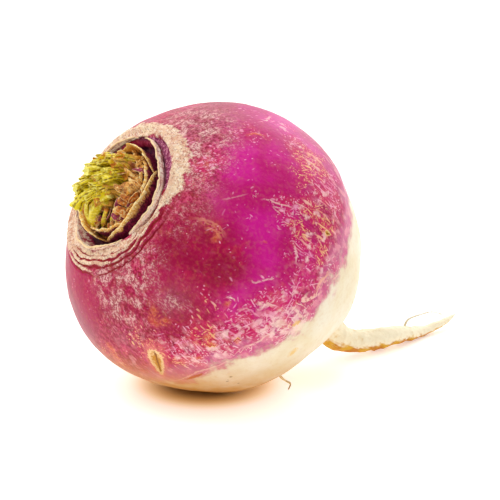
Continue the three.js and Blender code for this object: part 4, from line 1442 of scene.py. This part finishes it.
def side_root_finish(name, young, old):
    """Two tints in fine specks, the older one gathering towards the tip."""
    thread = Finish(name, IOR=1.45)
    speck = thread.noise(0.6, 3)
    tint = thread.mix(thread.rising(thread.read("share") + (speck - 0.5) * 1.6, 0.2, 1.1), young, old)
    thread.wear(tint, speck * 0.2 + 0.55, (speck - 0.5) * 0.2)
    return thread


side_root_finish("long_side_root", paint(214, 200, 168), paint(246, 238, 228)).put_on(
    side_roots["long_side_root"])
side_root_finish("short_side_root", paint(226, 196, 140), paint(170, 132, 84)).put_on(
    side_roots["short_side_root"])

# %% [markdown]
# ## Floor, light and camera
# The floor is a plain pale sheet that glows a little from within like a light table, so that it reads
# as white right up to the bulb. The glow is painted light: it is brightest in a ring round the bulb and
# fades out near the foot, which paints the contact shadow. Close to the foot the sheet and its glow are
# painted warmer, a painted golden shadow, which also colours the light thrown up on the cream belly. A
# dim yellowish patch beside the foot is a painted reflection of the cream flesh in a polished sheet.

# %% Floor
FLOOR_SIZE, FLOOR_DEPTH = 6.0, 0.0001
FOOT, REFLECTION = (-2, 0, 0), (28, -13, 0)
half = FLOOR_SIZE / 2
corners = [(x * half, y * half, -FLOOR_DEPTH) for x, y in ((-1, -1), (1, -1), (1, 1), (-1, 1))]
floor_mesh = bpy.data.meshes.new("floor")
floor_mesh.from_pydata(corners, [], [(0, 1, 2, 3)])
floor = bpy.data.objects.new("floor", floor_mesh)
bpy.context.scene.collection.objects.link(floor)
table = Finish("floor", IOR=1.45)
cloud = table.noise(60, 2)


def distance_from(place):
    """How far each point of the floor is from a place on it, in millimetres."""
    gap = table.add("ShaderNodeVectorMath", {0: table.place, 1: place}, operation="DISTANCE")
    return Quantity(table, gap.outputs["Value"])


from_foot = distance_from(FOOT)
# Painted shadow tint: the sheet turns golden close to the foot.
sheet_with_painted_shadow = table.mix(table.rising(from_foot, 36, 13), paint(246, 243, 236), paint(236, 196, 124))
# Painted reflection of the cream flesh beside the foot.
mirrored = table.rising(distance_from(REFLECTION), 15, 3)
sheet_with_painted_shadow = table.mix(mirrored * 0.5, sheet_with_painted_shadow, paint(228, 220, 186))
table.wear(sheet_with_painted_shadow, cloud * 0.1 + 0.3, cloud * 0.0)
# Painted light and shadow: no glow within 10 mm of the foot, most in a ring round the bulb, golden near the
# foot.
glow = table.rising(from_foot, 10, 22) * (table.rising(from_foot, 90, 24) * 0.28 + 0.3)
glow_tint = table.mix(table.rising(from_foot, 14, 25), paint(240, 196, 128), paint(255, 255, 255))
glow_tint = table.mix(mirrored * 0.4, glow_tint, paint(236, 228, 190))
table.tree.links.new(glow.socket, table.shader.inputs["Emission Strength"])
table.tree.links.new(glow_tint.socket, table.shader.inputs["Emission Color"])
table.put_on(floor)

# %% [markdown]
# The room is white along the horizon all round. Above it, the wall behind the turnip is brighter than
# the one in front, as in a studio with a lit backdrop. That leaves the near side deep in colour and
# brightens every edge. Two large soft lamps, like windows, add gentle shading.

# %% Light
BACKDROP, FRONT, TO_BACKDROP = 1.05, 0.36, (0.56, 0.64, 0.53)
world = bpy.data.worlds.new("bright_room")
world.use_nodes = True
bpy.context.scene.world = world
bpy.context.scene.view_settings.view_transform = "Standard"
nodes, links = world.node_tree.nodes, world.node_tree.links
direction = nodes.new("ShaderNodeTexCoord").outputs["Generated"]
facing = nodes.new("ShaderNodeVectorMath")
facing.operation = "DOT_PRODUCT"
facing.inputs[1].default_value = TO_BACKDROP
shade = nodes.new("ShaderNodeMapRange")
for key, value in {"From Min": -0.8, "From Max": 0.8, "To Min": FRONT, "To Max": BACKDROP}.items():
    shade.inputs[key].default_value = value
parts = nodes.new("ShaderNodeSeparateXYZ")
haze = nodes.new("ShaderNodeMapRange")
for key, value in {"From Min": 0.11, "From Max": 0.06, "To Min": 0, "To Max": BACKDROP}.items():
    haze.inputs[key].default_value = value
brighter = nodes.new("ShaderNodeMath")
brighter.operation = "MAXIMUM"
links.new(direction, facing.inputs[0])
links.new(facing.outputs["Value"], shade.inputs["Value"])
links.new(direction, parts.inputs[0])
links.new(parts.outputs["Z"], haze.inputs["Value"])
links.new(shade.outputs[0], brighter.inputs[0])
links.new(haze.outputs[0], brighter.inputs[1])
links.new(brighter.outputs[0], nodes["Background"].inputs["Strength"])
nodes["Background"].inputs["Color"].default_value = (1, 1, 1, 1)


def soft_light(name, place, size, power):
    """A square lamp that faces the bulb, with its place and size in metres and its power in watts."""
    light = bpy.data.lights.new(name, "AREA")
    light.size, light.energy = size, power
    lamp = bpy.data.objects.new(name, light)
    bpy.context.scene.collection.objects.link(lamp)
    towards = Vector(CENTRE * MM) - Vector(place)
    lamp.matrix_world = Matrix.Translation(place) @ towards.to_track_quat("-Z", "Y").to_matrix().to_4x4()
    print(name, "stands", round(towards.length, 2), "m from the bulb's centre")


soft_light("window", (-0.45, 0.25, 0.9), 0.6, 5)
soft_light("side_window", (0.9, 0.5, 0.5), 0.8, 5)

# %% [markdown]
# The camera looks down on the turnip from the near side, with the crown to its left. It stands far off
# and has a long lens, which keeps the bulb's outline close to its true one. Its lens follows from the
# width that it should see at the bulb, and it is aimed a little to the right of the bulb's centre, so
# that the taproot fits in.

# %% Camera
BEARING, ELEVATION = np.radians(-27.9), np.radians(20)
CAMERA_DISTANCE, FRAME_WIDTH = 1.5, 0.1446
SENSOR, FARTHEST = 36, 10
AIM_RIGHT, AIM_DOWN = 10.98, 0.87
towards_camera = np.array([np.cos(ELEVATION) * np.sin(BEARING), -np.cos(ELEVATION) * np.cos(BEARING),
                           np.sin(ELEVATION)])
to_right = np.array([np.cos(BEARING), np.sin(BEARING), 0])
upwards = np.cross(towards_camera, to_right)
aim = (CENTRE + AIM_RIGHT * to_right - AIM_DOWN * upwards) * MM
camera_data = bpy.data.cameras.new("camera")
camera_data.sensor_width = SENSOR
camera_data.lens = SENSOR * CAMERA_DISTANCE / FRAME_WIDTH
camera_data.clip_end = FARTHEST
camera = bpy.data.objects.new("camera", camera_data)
camera.matrix_world = Matrix([[*axes, place] for *axes, place in
                              np.column_stack([to_right, upwards, towards_camera,
                                               aim + CAMERA_DISTANCE * towards_camera]).tolist()]
                             + [[0, 0, 0, 1]])
bpy.context.scene.collection.objects.link(camera)
bpy.context.scene.camera = camera
print("lens:", round(camera_data.lens), "mm, aimed at", (aim / MM).round(1), "mm")
